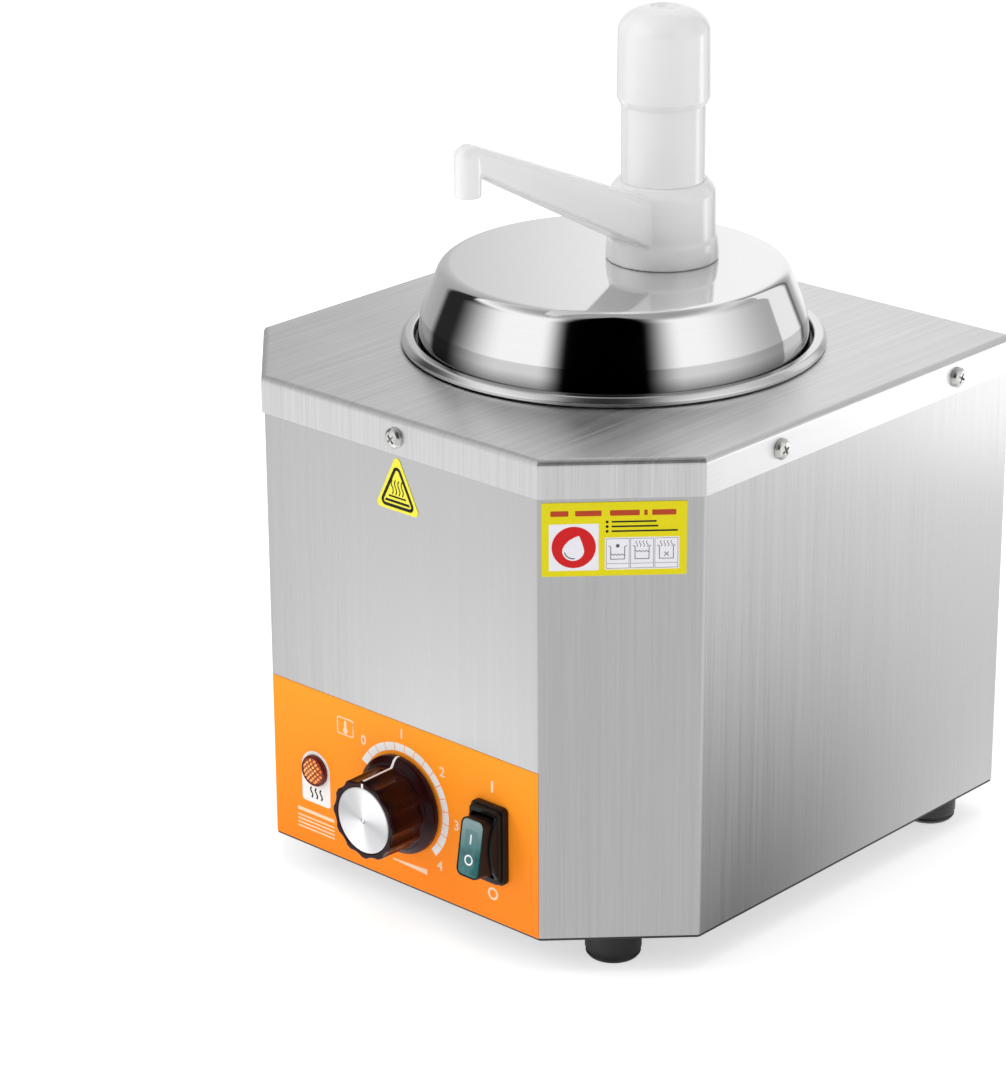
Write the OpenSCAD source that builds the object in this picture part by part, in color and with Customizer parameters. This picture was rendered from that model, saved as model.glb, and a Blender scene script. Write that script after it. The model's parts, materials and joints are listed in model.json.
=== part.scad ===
// Heated cheese dispenser: a water-bath housing, a lift-out pot, a domed lid and a plunger pump.
// Millimetres. Origin: centre of the footprint on the floor. +Z up, controls towards -Y.

/* [Housing] */
// Width over the top cover
body_w = 225; // [222:1:240]
// Depth over the top cover
body_d = 228; // [226:1:240]
// Height of the housing without its feet
body_h = 190; // [186:1:210]
// Leg of each front corner chamfer
corner_cut = 42.5; // [36:0.5:46]
// Thickness of the folded steel sheet
sheet = 0.9; // [0.7:0.1:1.1]
// Outside radius of the top cover's folds
fold_r = 2.5; // [1.5:0.1:4]
// Depth of the flange around the top cover
flange_h = 14.5; // [12:0.5:16]
// Diameter of the cover screws' heads
screw_head_d = 8; // [7:0.2:9]

/* [Feet] */
// Diameter of a rubber foot
foot_d = 21.5; // [18:0.5:26]
// Height of a rubber foot
foot_h = 14; // [12:0.5:18]

/* [Pot and lid] */
// Inside radius of the pot
pot_r = 73.2; // [72:0.1:73.6]
// Depth of the pot below its ledge
pot_depth = 137.7; // [135:0.1:140]
// Outside radius of the pot's rolled rim
rim_r = 82; // [81:0.1:84]
// Height of the lid's flat top above the ledge it rests on
lid_h = 30.8; // [29:0.1:34]
// Distance of the pot's axis behind the centre of the housing
pot_y = 7.4; // [4:0.1:9]

/* [Pump] */
// Pump axis to the right of the pot's axis
pump_dx = 9.6; // [0:0.1:12]
// Pump axis behind the pot's axis
pump_dy = 17.2; // [10:0.1:20]
// Outside radius of the plunger tube
tube_r = 16.15; // [16:0.01:16.3]
// Travel of the push cap
stroke = 28; // [20:1:29]
// Reach of the nozzle's axis from the pump's axis
arm_reach = 108.5; // [90:0.5:125]
// Height of the push cap's top above the lid
cap_top = 99.5; // [96:0.5:110]

/* [Controls] */
// Height of the knob's axis above the floor
knob_z = 49; // [46:0.5:52]
// Diameter of the knob's skirt
skirt_d = 39.5; // [36:0.5:42]
// Height of the orange control panel's top edge above the floor
panel_top = 82; // [78:0.5:90]
// Distance of the lamp's axis to the left of the knob
lamp_dx = 46.7; // [42:0.1:50]
// Distance of the switch's centre to the right of the knob
switch_dx = 46.5; // [42:0.1:50]
// Tilt of the rocker either side of level
rocker_tilt = 9.5; // [6:0.5:9.5]

/* [Hidden] */
$fn = 64;
eps = 0.05;                              // gap between pieces that touch
over = 1;                                // how far a cutting shape runs past a face
running = 0.05;                          // radial clearance of a running fit
SQ = sqrt(2);

deck_z = foot_h + body_h;                // top face of the cover
deck_under = deck_z - sheet;             // underside of the cover
lap = sheet + 0.1;                       // how far the shell sits inside the cover
half_w = body_w / 2;
half_d = body_d / 2;
base_t = 1;                              // thickness of the base plate
shell_z = foot_h + base_t;               // bottom edge of the shell
shell_top = deck_under - fold_r + sheet - 0.1;   // top edge of the shell, below the cover's fold
front_y = -(half_d - lap);               // outer front face of the shell
back_y = half_d - lap;                   // outer face of the shell's back flanges
overlay_t = 0.3;                         // thickness of the control panel
panel_y = front_y - overlay_t;           // front face of the control panel
inside_y = front_y + sheet;              // inner front face of the shell
bend_r = 2;                              // outside radius of the shell's upright bends
turn_in = 10;                            // width of the shell's turned-in edges
chamfer_mid = (half_w + half_d - corner_cut) / SQ - lap;   // shell chamfer's distance from the axis
chamfer_shift = (half_w - half_d) / SQ;  // sideways place of the chamfer's middle

pot_wall = 0.8;
ledge_z = deck_z + 0.5;                  // ledge inside the pot's rim, on which the lid rests
pot_floor = ledge_z - pot_depth;
rim_in = rim_r - 5;                      // inner radius of the rolled rim
rim_h = 3.3;                             // height of the rolled rim above the deck
deck_hole_r = rim_in + 2;
tank_r = 84;
tank_wall = 0.8;
tank_z = 42;                             // underside of the tank's floor
tank_flange_r = tank_r + 8;

lid_wall = 0.8;
lid_top = ledge_z + lid_h;
lid_r = rim_in - 1.4;                    // bottom edge of the lid
lid_hole_r = 19.35;
pump_x = pump_dx;
pump_y = pot_y + pump_dy;

barrel_r = lid_hole_r - running;
bore_r = 18;                             // inside radius of the pump barrel
barrel_bottom = -158;                    // pump heights count from the lid's top
valve_top = -136;                        // top of the foot valve
piston_bottom = -80;
tube_bottom = -66;
collar_r = 20.6;
chamber_z = 7.5;                         // bottom of the chamber in the collar
wiper_z = 20;
guide_z = 23.5;                          // bottom of the bore that guides the tube
collar_top = 31;
cap_bottom = 60.3;
cap_r = 17.9;
nozzle_r = 5.1;
nozzle_bottom = 47.2;
nozzle_top = 66.2;
arm_top_slope = 0.42;
arm_top_z = 21.6;                        // arm's top line, carried back to the pump axis
arm_low_slope = 0.53;
arm_low_z = -0.8;                        // arm's lower line, carried back to the pump axis
ball_r = 7;
small_ball_r = 6;
ball_lift = 2.5;

knob_h = 21.7;                           // how far the knob stands proud of the panel
grip_r = 16;
flutes = 12;
flute_r = 8;
flute_depth = 0.9;
shaft_r = 3;
bezel_w = 16.6;                          // switch bezel
bezel_h = 31.4;
rocker_w = 11.4;
rocker_len = 23;
rocker_open_h = 25.2;                    // opening that the rocker moves in
pivot_out = 5;                           // rocker pivot in front of the panel
rocker_face = 6.5;                       // rocker face in front of its pivot
cord_x = 62;
cord_z = 34;                             // height at which the cord leaves the housing
cord_r = 3.6;
cord_y = -panel_y + knob_h - 9;          // the cord lies as far back as the knob is forward
screw_r = 1.95;                          // M4 shank
hole_r = 2.2;                            // M4 clearance hole
screw_z = deck_z - 8;                    // height of the cover screws

side_screws = [[half_w, -29.5, 90], [half_w, 77.1, 90], [-half_w, -29.5, -90], [-half_w, 77.1, -90]];
end_screws = [[0, -half_d, 0], [-62, half_d, 180], [62, half_d, 180]];
cover_screw_places = concat(side_screws, end_screws);
back_screw_places = [for (x = [-1, 1], z = [26, 100, 172]) [x * (half_w - lap - 5.5), z]];
foot_places = [[-78, -81], [78, -81], [-94, 95], [94, 95]];
element_legs = [-14, 14];                // x of the heating element's legs
leg_y = pot_y - 58;                      // radius 58 ring, legs at its front

// ---- shared shapes ----

// Points of an arc in the plane
function arc(cx, cy, r, a0, a1, n = 5) =
    [for (i = [0:n]) let (a = a0 + (a1 - a0) * i / n) [cx + r * cos(a), cy + r * sin(a)]];

// Outline of the housing set in by d, with its four upright bends rounded by r
function plan_points(d, r) =
    let (a = half_w - d, b = half_d - d, c = corner_cut - d * (2 - SQ), k = r * tan(22.5))
    concat(arc(a - c - k, -b + r, r, -90, -45), arc(a - r, -b + c + k, r, -45, 0),
        [[a, b], [-a, b]],
        arc(-a + r, -b + c + k, r, 180, 225), arc(-a + c + k, -b + r, r, 225, 270));

module plan(d, r = bend_r) polygon(plan_points(d, r));

// A long bar whose far side reaches out to x = reach, with that top edge rounded by r
module edge_bar(reach, h, r) {
    length = 2 * (body_w + body_d);
    rotate([90, 0, 0]) linear_extrude(length, center = true)
        polygon(concat([[-length, 0], [reach, 0]], arc(reach - r, h - r, r, 0, 90, 6), [[-length, h]]));
}

// The housing's outline set in by d, as a block of height h with rounded top edges
module folded_block(d, h, r) {
    chamfer = (half_w + half_d - corner_cut) / SQ - d;
    intersection() {
        edge_bar(half_w - d, h, r);
        rotate(180) edge_bar(half_w - d, h, r);
        rotate(90) edge_bar(half_d - d, h, r);
        rotate(270) edge_bar(half_d - d, h, r);
        rotate(225) edge_bar(chamfer, h, r);
        rotate(315) edge_bar(chamfer, h, r);
    }
}

// A solid of revolution from points [radius, height]
module turned(points) rotate_extrude() polygon(points);

// A ring with a square section
module ring(r_in, r_out, z0, z1) translate([0, 0, z0]) difference() {
    cylinder(r = r_out, h = z1 - z0);
    translate([0, 0, -over]) cylinder(r = r_in, h = z1 - z0 + 2 * over);
}

module disc(r, z0, z1) translate([0, 0, z0]) cylinder(r = r, h = z1 - z0);

// A straight rod between two points
module rod(p, q, r) {
    v = q - p;
    length = norm(v);
    translate(p) rotate([0, acos(v.z / length), atan2(v.y, v.x)]) cylinder(r = r, h = length);
}

// Round bar of radius r swept along a path that never runs parallel to ref
module swept(path, r, ref = [0, 0, 1], sides = 8) {
    n = len(path);
    points = [for (i = [0:n - 1])
        let (t = path[min(i + 1, n - 1)] - path[max(i - 1, 0)],
            u = cross(ref, t) / norm(cross(ref, t)), v = cross(t, u) / norm(t))
        for (k = [0:sides - 1]) path[i] + r * (u * cos(k * 360 / sides) + v * sin(k * 360 / sides))];
    walls = [for (i = [0:n - 2], k = [0:sides - 1])
        let (a = i * sides, j = (k + 1) % sides) [a + k, a + sides + k, a + sides + j, a + j]];
    split = [for (w = walls) each [[w[0], w[1], w[2]], [w[0], w[2], w[3]]]];
    ends = [[for (k = [0:sides - 1]) k], [for (k = [sides - 1:-1:0]) (n - 1) * sides + k]];
    polyhedron(points, concat(ends, split));
}

// Points of a smooth curve through a list of points, with its ends running straight on
function smooth(p, steps = 6) =
    let (n = len(p), q = concat([2 * p[0] - p[1]], p, [2 * p[n - 1] - p[n - 2]]))
    concat([for (i = [1:n - 1], k = [0:steps - 1]) let (t = k / steps)
        q[i] + (q[i + 1] - q[i - 1]) * t / 2
            + (2 * q[i - 1] - 5 * q[i] + 4 * q[i + 1] - q[i + 2]) * t * t / 2
            + (3 * q[i] - q[i - 1] - 3 * q[i + 1] + q[i + 2]) * t * t * t / 2], [p[n - 1]]);

// Places children on the front face: x right, y up, z out of the panel
module on_panel(x, z) translate([x, panel_y, z]) rotate([90, 0, 0]) children();

// Places children on a wall at [x, y, turn], with their z axis pointing out of the wall
module on_wall(place, z)
    translate([place[0], place[1], z]) rotate(place[2]) rotate([90, 0, 0]) children();

module at_pot() translate([0, pot_y, 0]) children();

module at_pump() translate([pump_x, pump_y, lid_top]) children();

// Pan-head screw with a cross recess, its head's underside at z = 0
module pan_screw(head_d, shank_r, length) {
    head_h = head_d * 0.3;
    slot = head_d * 0.14;
    difference() {
        union() {
            turned([[0, 0], [head_d / 2, 0], [head_d / 2, head_h * 0.35], [head_d * 0.45, head_h * 0.7],
                [head_d * 0.3, head_h * 0.95], [0, head_h]]);
            translate([0, 0, -length]) cylinder(r = shank_r, h = length);
        }
        for (a = [0, 90]) rotate(a) translate([-slot * 1.9, -slot / 2, head_h * 0.45])
            cube([slot * 3.8, slot, head_h]);
    }
}

module slot_hole(length, width) {
    for (s = [-1, 1]) translate([s * (length - width) / 2, 0]) circle(d = width);
    square([length - width, width], center = true);
}

// ---- housing ----

module shell() {
    a = half_w - lap;
    b = half_d - lap;
    color("silver") difference() {
        union() {
            translate([0, 0, shell_z]) linear_extrude(shell_top - shell_z) difference() {
                plan(lap);
                plan(lap + sheet, bend_r - sheet);
            }
            translate([0, 0, shell_z]) linear_extrude(sheet) difference() {
                plan(lap);
                plan(lap + turn_in);
            }
        }
        translate([-a + turn_in, b - turn_in * 2, shell_z - over])
            cube([2 * (a - turn_in), turn_in * 3, body_h + 2 * over]);
        shell_openings();
    }
}

module shell_openings() {
    on_panel(0, knob_z) disc(5.2, -6, over);
    for (s = [-1, 1]) on_panel(s * 14, knob_z) disc(hole_r, -6, over);
    on_panel(-lamp_dx, knob_z - 1) disc(5.1, -6, over);
    on_panel(switch_dx, knob_z - 1) translate([-6.7, -13.8, -6]) cube([13.4, 27.6, 6 + over]);
    for (p = cover_screw_places) on_wall(p, screw_z) disc(hole_r, -6, over);
    for (p = back_screw_places) on_wall([p.x, half_d, 180], p.y) disc(1.7, -6, over);
}

module top_cover() color("silver") difference() {
    translate([0, 0, deck_z - flange_h]) difference() {
        folded_block(0, flange_h, fold_r);
        translate([0, 0, -over]) folded_block(sheet, flange_h + over - sheet, fold_r - sheet);
    }
    at_pot() disc(deck_hole_r, deck_z - 5, deck_z + over);
    for (p = cover_screw_places) on_wall(p, screw_z) disc(hole_r, -3, over);
}

module back_panel() {
    w = 2 * (half_w - lap) - 2;
    top = deck_z - flange_h - 0.5;
    slots = 6;
    color("silver") translate([0, back_y + eps + sheet, 0]) rotate([90, 0, 0]) linear_extrude(sheet)
        difference() {
            translate([-w / 2, shell_z + 0.5]) square([w, top - shell_z - 0.5]);
            for (i = [0:slots - 1], z = [118, 150])
                translate([(i - (slots - 1) / 2) * 26, z]) rotate(90) slot_hole(22, 4);
            for (p = back_screw_places) translate([p.x, p.y]) circle(1.7);
            translate([62, 34]) circle(7);
        }
}

module base_plate() color([0.07, 0.07, 0.07]) difference() {
    translate([0, 0, foot_h]) linear_extrude(base_t) difference() {
        plan(lap + 0.2);
        for (i = [-3:3], s = [-1, 1]) translate([i * 14, s * 22 + pot_y]) rotate(90) slot_hole(26, 4);
        for (p = foot_places) translate(p) circle(hole_r);
        for (x = [-1, 1]) translate([x * 40, half_d - 14]) circle(hole_r);
    }
}

module feet() color([0.05, 0.05, 0.05]) for (p = foot_places) translate(p) difference() {
    turned([[0, 0], [foot_d / 2 - 2, 0], [foot_d / 2 - 1, 0.6], [foot_d / 2, 3], [foot_d / 2, foot_h - eps],
        [0, foot_h - eps]]);
    disc(hole_r, -over, foot_h + over);
    disc(5.5, -over, foot_h - 5);
}

module foot_screws() color("silver") for (p = foot_places) translate([p.x, p.y, foot_h - 5])
    rotate([180, 0, 0]) {
        translate([0, 0, eps]) pan_screw(screw_head_d, screw_r, 11 + eps);
        difference() {
            translate([0, 0, -8.6]) rotate(30) cylinder(r = 4, h = 2.6, $fn = 6);
            disc(screw_r + running, -9, -5);
        }
    }

module cover_screws() color("silver") for (p = cover_screw_places)
    on_wall(p, screw_z) translate([0, 0, eps]) pan_screw(screw_head_d, screw_r, 8);

module clinch_nuts() color("silver") for (p = cover_screw_places)
    on_wall(p, screw_z) translate([0, 0, -lap - sheet - eps - 3]) difference() {
        cylinder(r = 4, h = 3, $fn = 6);
        translate([0, 0, -over]) cylinder(r = screw_r + running, h = 5);
    }

module back_screws() color("silver") for (p = back_screw_places)
    on_wall([p.x, back_y + eps + sheet, 180], p.y) translate([0, 0, eps]) pan_screw(6, 1.5, 7);

// ---- front panel ----

module control_panel() {
    w = body_w - 2 * corner_cut;
    color([1, 0.55, 0.15]) translate([0, front_y, 0]) rotate([90, 0, 0]) linear_extrude(overlay_t)
        difference() {
            translate([-w / 2 + 0.8, shell_z]) square([w - 1.6, panel_top - shell_z]);
            translate([0, knob_z]) circle(9);
            translate([-lamp_dx, knob_z - 1]) circle(5.1);
            translate([switch_dx - 6.7, knob_z - 14.8]) square([13.4, 27.6]);
            for (s = [-1, 1]) translate([s * 14, knob_z]) circle(4.4);
        }
}

module heat_sticker() {
    half_side = 11.2;
    side_h = 21;
    corner = 1.6;
    color("gold") translate([0, front_y, deck_z - 37]) rotate([90, 0, 0]) linear_extrude(0.2)
        polygon(concat(arc(-half_side + corner * 1.6, corner, corner, 150, 270),
            arc(half_side - corner * 1.6, corner, corner, -90, 30),
            arc(0, side_h - corner, corner, 30, 150)));
}

// Lies on the right-hand chamfer, beside its left edge
module water_label() color("gold")
    rotate(45) translate([chamfer_shift - 28.5, -chamfer_mid, deck_z - 44.3]) rotate([90, 0, 0])
        linear_extrude(0.2) square([51.9, 28.1]);

module lamp_bezel() color([0.45, 0.08, 0.03]) on_panel(-lamp_dx, knob_z - 1)
    turned([[5.3, eps], [6.4, eps], [6.4, 1.2], [5.9, 2], [5.3, 2.2]]);

module lamp_lens() color([0.85, 0.3, 0.05, 0.9]) on_panel(-lamp_dx, knob_z - 1)
    turned([[0, 0], [5.2, 0], [5.2, 2], [4.2, 2.8], [2.2, 3.3], [0, 3.4]]);

module lamp_body() color("ivory") on_panel(-lamp_dx, knob_z - 1) {
    disc(4.8, -24, -0.1);
    ring(4.9, 7.5, -sheet - overlay_t - 2.1, -sheet - overlay_t - 0.1);
    for (s = [-1, 1]) translate([s * 2.2 - 1.4, -0.4, -31.5]) cube([2.8, 0.8, 7.5]);
}

// ---- rocker switch ----

module on_switch() on_panel(switch_dx, knob_z - 1) children();

module switch_housing() color([0.06, 0.05, 0.05]) on_switch() {
    cheek_r = 23.3;
    cheek_out = 8.5;
    body_back = -24;
    difference() {
        union() {
            translate([-bezel_w / 2, -bezel_h / 2, 0.02]) cube([bezel_w, bezel_h, 3.2]);
            translate([-bezel_w / 2 + 0.7, -bezel_h / 2 + 0.7, 3]) cube([bezel_w - 1.4, bezel_h - 1.4, 1.8]);
            intersection() {
                translate([-6.9, 0, cheek_out - cheek_r]) rotate([0, 90, 0])
                    cylinder(r = cheek_r, h = 13.8, $fn = 96);
                translate([-8, -13.6, 2]) cube([16, 27.2, 10]);
            }
            translate([-6.5, -13.6, body_back]) cube([13, 27.2, -body_back + 1]);
        }
        translate([-rocker_w / 2 - 0.1, -rocker_open_h / 2, body_back + 9])
            cube([rocker_w + 0.2, rocker_open_h, 40]);
        translate([-10, 0, pivot_out]) rotate([0, 90, 0]) cylinder(r = 1.25, h = 20);
    }
}

module switch_terminals() color("peru") on_switch()
    for (x = [-3.5, 3.5], y = [-8, 8]) translate([x - 0.4, y - 2.4, -33]) cube([0.8, 4.8, 9]);

module rocker_pose() on_switch() translate([0, 0, pivot_out]) rotate([-rocker_tilt, 0, 0]) children();

// Frame of the rocker with its two pivot pins and its inner leg
module rocker() color([0.05, 0.05, 0.05]) rocker_pose() {
    difference() {
        union() {
            translate([-rocker_w / 2, -rocker_len / 2, -2]) cube([rocker_w, rocker_len, rocker_face + 1.5]);
            translate([-3, -4, -11]) cube([6, 8, 12]);
            translate([-rocker_w / 2 - 0.8, 0, 0]) rotate([0, 90, 0])
                cylinder(r = 1.2, h = rocker_w + 1.6);
        }
        translate([-5.4, -11.2, rocker_face - 1.5]) cube([10.8, 22.4, 3]);
    }
}

module rocker_lens() color([0.05, 0.45, 0.42, 0.9]) rocker_pose() difference() {
    translate([-5.35, -11.15, rocker_face - 1.45]) cube([10.7, 22.3, 1.45]);
    translate([0, 0, rocker_face + 89.6]) rotate([0, 90, 0])
        cylinder(r = 90, h = 20, center = true, $fn = 200);
}

// ---- knob and thermostat ----

// Outline of the knob before its flutes: skirt, waist and grip
function knob_points() = concat([[0, 1], [skirt_d / 2, 1], [skirt_d / 2, 2.6]],
    arc(skirt_d / 2 - 2.2, 2.6, 2.2, 0, 70, 4), [[grip_r, 5.6], [grip_r, knob_h - 1.4]],
    arc(grip_r - 1.2, knob_h - 1.4, 1.2, 20, 90, 3), [[0, knob_h - 0.2]]);

module pointer_bar() translate([-0.65, grip_r - 1.4, 1.6]) cube([1.3, 8, knob_h]);

module knob() color([0.1, 0.04, 0.03]) on_panel(0, knob_z) difference() {
    turned(knob_points());
    for (i = [0:flutes - 1]) rotate((i + 0.5) * 360 / flutes)
        translate([0, grip_r + flute_r - flute_depth, 5.8]) cylinder(r = flute_r, h = knob_h);
    pointer_bar();
    disc(13.4, knob_h - 1.2, knob_h + over);
    disc(shaft_r + running, 0, 16);
    ring(9, 14.5, 0, 5);
    ring(9, 17.4, 0, 2.2);
    translate([0, 0, 8]) rotate([90, 0, 0]) cylinder(r = 1.55, h = 30);
}

module knob_pointer() color("white") on_panel(0, knob_z) intersection() {
    turned(knob_points());
    pointer_bar();
}

module knob_disc() color("gainsboro") on_panel(0, knob_z)
    turned([[0, knob_h - 1.15], [13.3, knob_h - 1.15], [13.3, knob_h - 0.3], [12.9, knob_h], [1.2, knob_h],
        [0, knob_h - 0.3]]);

module knob_grub_screw() color("dimgray") on_panel(0, knob_z) translate([0, -shaft_r - running, 8])
    rotate([90, 0, 0]) cylinder(r = 1.5, h = 7);

module thermostat_shaft() color("silver") on_panel(0, knob_z) {
    disc(shaft_r, -18, 15.5);
    disc(7, -18, -15);
}

module thermostat() {
    plate_front = -overlay_t - sheet - eps;
    color("darkgray") on_panel(0, knob_z) difference() {
        union() {
            translate([-21, -15, plate_front - 1.2]) cube([42, 30, 1.2]);
            translate([-18, -18, plate_front - 26]) cube([36, 36, 25]);
            disc(4.9, plate_front - 2, 0.6);
            translate([12, 12, plate_front - 29]) cylinder(r = 1.2, h = 4);
        }
        disc(shaft_r + running, -19, 2);
        disc(7 + running, -18 - running, -15 + running);
        for (s = [-1, 1]) translate([s * 14, 0]) disc(1.7, -9, 0);
    }
}

module thermostat_screws() color("silver") for (s = [-1, 1])
    on_panel(s * 14, knob_z) translate([0, 0, -overlay_t + eps]) pan_screw(6, 1.65, 6);

// Sensing bulb on the tank's wall, with its capillary from the thermostat
module capillary_bulb() color("peru") {
    wall = tank_r + 3.2;
    bulb = [wall * sin(35), pot_y - wall * cos(35)];
    start = [12, panel_y + overlay_t + sheet + 30.8, knob_z + 12];
    translate([bulb.x, bulb.y, 70]) cylinder(r = 3, h = 60);
    swept(smooth([start, [12.4, -79.6, 54], [15, -78.4, 44], [24, -76, 36.5],
        [bulb.x - 10, bulb.y - 5, 41], [bulb.x, bulb.y, 58], [bulb.x, bulb.y, 71]]), 0.9, [1, 1, 0]);
}

// ---- water bath ----

module water_tank() color("silver") at_pot() difference() {
    union() {
        turned([[0, tank_z], [tank_r - 6, tank_z], [tank_r - 1.8, tank_z + 1.8], [tank_r, tank_z + 6],
            [tank_r, deck_under - eps], [tank_r - tank_wall, deck_under - eps],
            [tank_r - tank_wall, tank_z + 6.3], [tank_r - 2.4, tank_z + 2.4],
            [tank_r - 6.3, tank_z + tank_wall], [0, tank_z + tank_wall]]);
        ring(tank_r - tank_wall, tank_flange_r, deck_under - eps - tank_wall, deck_under - eps);
    }
    for (x = element_legs) translate([x, leg_y - pot_y]) disc(5.1, tank_z - over, tank_z + 3);
}

// Tube bent into an open ring, with two legs down through the tank's floor
module heating_element() {
    tube = 4;
    ring_r = 52;
    ring_z = tank_z + 13;
    bend = 10;
    gap = 15;
    start = leg_y - pot_y;
    color("slategray") at_pot() {
        translate([0, 0, ring_z]) rotate(-90 + gap) rotate_extrude(angle = 360 - 2 * gap)
            translate([ring_r, 0]) circle(tube);
        for (s = [-1, 1]) {
            foot = ring_r * sin(gap);
            translate([s * foot, -ring_r * cos(gap), ring_z]) sphere(tube * 1.1);
            rod([s * foot, -ring_r * cos(gap), ring_z], [s * 14, start, ring_z], tube - 0.2);
            translate([s * 14, start, ring_z]) sphere(tube * 1.1);
            translate([s * 14, start, tank_z - bend]) cylinder(r = tube, h = ring_z - tank_z + bend);
            translate([s * 14, start, tank_z - bend - 5]) cylinder(r = 1.2, h = 6);
        }
    }
}

module element_nuts() color("goldenrod") for (x = element_legs) translate([x, leg_y, tank_z]) {
    difference() {
        union() {
            translate([0, 0, -7]) cylinder(r = 5, h = 11);
            translate([0, 0, tank_wall + eps]) cylinder(r = 8, h = 2.6, $fn = 6);
            translate([0, 0, -3.5]) cylinder(r = 8, h = 3.45, $fn = 6);
        }
        translate([0, 0, -10]) cylinder(r = 4 + eps, h = 20);
    }
}

// ---- wiring ----

module terminal_block() color("ivory") translate([-20, 72, shell_z + 0.1]) difference() {
    cube([40, 20, 5]);
    for (i = [0:2]) translate([8 + i * 12, 10, 2]) cylinder(r = 2, h = 4);
}

// Three leads from the terminal block to the lamp, the switch and the element
module wiring() {
    floor_z = shell_z + 5;
    panel_back = panel_y + 34;
    lead_r = 1.1;
    color([0.1, 0.25, 0.6]) swept(smooth([[-12, 71, floor_z], [-30, 30, floor_z - 1], [-44, -40, floor_z],
        [-lamp_dx + 2.2, -64, 32], [-lamp_dx + 2.2, panel_back, knob_z - 1.2]]), lead_r, [1, 0.3, 0]);
    color([0.5, 0.25, 0.1]) swept(smooth([[12, 71, floor_z], [32, 26, floor_z - 1], [46, -40, floor_z],
        [switch_dx + 3.5, -64, 28], [switch_dx + 3.5, panel_back + 2, knob_z - 9.2]]), lead_r, [1, -0.3, 0]);
    color([0.7, 0.1, 0.1]) swept(smooth([[0, 71, floor_z], [5, 30, floor_z - 1], [10, -20, floor_z],
        [13.4, leg_y + 3, 21.5], [14, leg_y, tank_z - 15.8]]), lead_r, [1, 0, 0]);
}

module strain_relief() color([0.06, 0.06, 0.06]) translate([cord_x, back_y + sheet + eps, cord_z])
    rotate([-90, 0, 0]) difference() {
        turned([[0, -8], [6.8, -8], [6.8, 0.1], [9.5, 0.1], [9.5, 1.5], [6.6, 2.2], [5.2, 3.8], [0, 3.8]]);
        disc(cord_r + running, -9, 9);
    }

// Leaves the housing, turns down and runs along the floor to the plug
module power_cord() {
    exit_y = back_y + sheet;
    turn = cord_y - exit_y - 4;
    drop = 10;
    low_z = cord_r + 0.6;
    color([0.06, 0.06, 0.06]) {
        translate([cord_x, exit_y - 14, cord_z]) rotate([-90, 0, 0]) cylinder(r = cord_r, h = 18);
        translate([cord_x, exit_y + 4, cord_z - turn]) rotate([90, 0, 90]) rotate_extrude(angle = 90)
            translate([turn, 0]) circle(cord_r);
        translate([cord_x, cord_y, low_z + drop]) cylinder(r = cord_r, h = cord_z - turn - drop - low_z);
        translate([cord_x - drop, cord_y, low_z + drop]) rotate([-90, 0, 0]) rotate_extrude(angle = 90)
            translate([drop, 0]) circle(cord_r);
        translate([cord_x - drop, cord_y, low_z]) rotate([0, -90, 0]) cylinder(r = cord_r, h = 95);
    }
}

module plug_body() color([0.06, 0.06, 0.06]) translate([cord_x - 105, cord_y, 0]) difference() {
    union() {
        translate([-34, -9, 0.5]) cube([24, 18, 22]);
        translate([-10.5, 0, 9.5]) rotate([0, 90, 0]) cylinder(r1 = 9, r2 = 5, h = 22);
    }
    translate([-9.9, 0, cord_r + 0.6]) rotate([0, 90, 0]) cylinder(r = cord_r + running, h = 40);
    for (y = [-1, 1]) translate([-40, y * 5 - 0.85, 8]) cube([14, 1.7, 7]);
}

module plug_pins() color("goldenrod") translate([cord_x - 105, cord_y, 0])
    for (y = [-1, 1]) translate([-51, y * 5 - 0.8, 8.05]) cube([24.9, 1.6, 6.9]);

// ---- pot and lid ----

module pot() {
    outer = pot_r + pot_wall;
    corner = 8;
    ledge = rim_in + pot_wall;
    bead = rim_h / 2;
    color("silver") at_pot() turned(concat(
        [[0, pot_floor - pot_wall]], arc(outer - corner, pot_floor - pot_wall + corner, corner, -90, 0),
        [[outer, ledge_z - pot_wall - 1.5], [outer + 1.2, ledge_z - pot_wall], [ledge, ledge_z - pot_wall],
            [ledge, deck_z + eps], [rim_r - bead, deck_z + eps]],
        arc(rim_r - bead, deck_z + eps + bead, bead, -60, 90, 8),
        arc(rim_in + bead, deck_z + eps + bead, bead, 90, 180, 5),
        [[rim_in, ledge_z], [pot_r + 1.2, ledge_z], [pot_r, ledge_z - 1.2]],
        arc(pot_r - corner + pot_wall, pot_floor + corner - pot_wall, corner - pot_wall, 0, -90),
        [[0, pot_floor]]));
}

// Outline of the lid's outside, moved in by t: upright band, cone, rounded shoulder and flat top
function lid_points(t) =
    let (band = 11.7, round = 6, lean = 22, foot = ledge_z + eps, cone_r = lid_r - 1.2,
        edge_r = cone_r - (lid_h - band) * tan(lean), arc_r = edge_r - round * tan((90 - lean) / 2))
    concat([[0, foot - t], [lid_r - t, foot - t], [lid_r - 1 - t, ledge_z + band - 0.6],
            [cone_r - t, ledge_z + band]],
        arc(arc_r, lid_top - round, round - t, lean, 90, 8), [[0, lid_top - t]]);

module lid() color("gainsboro") difference() {
    at_pot() turned(lid_points(0));
    at_pot() turned(lid_points(lid_wall));
    at_pump() disc(lid_hole_r, -5, over);
}

// ---- pump body ----

function arm_top(f) = arm_top_z + arm_top_slope * f;
function arm_low(f) = arm_low_z + arm_low_slope * f;

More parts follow.
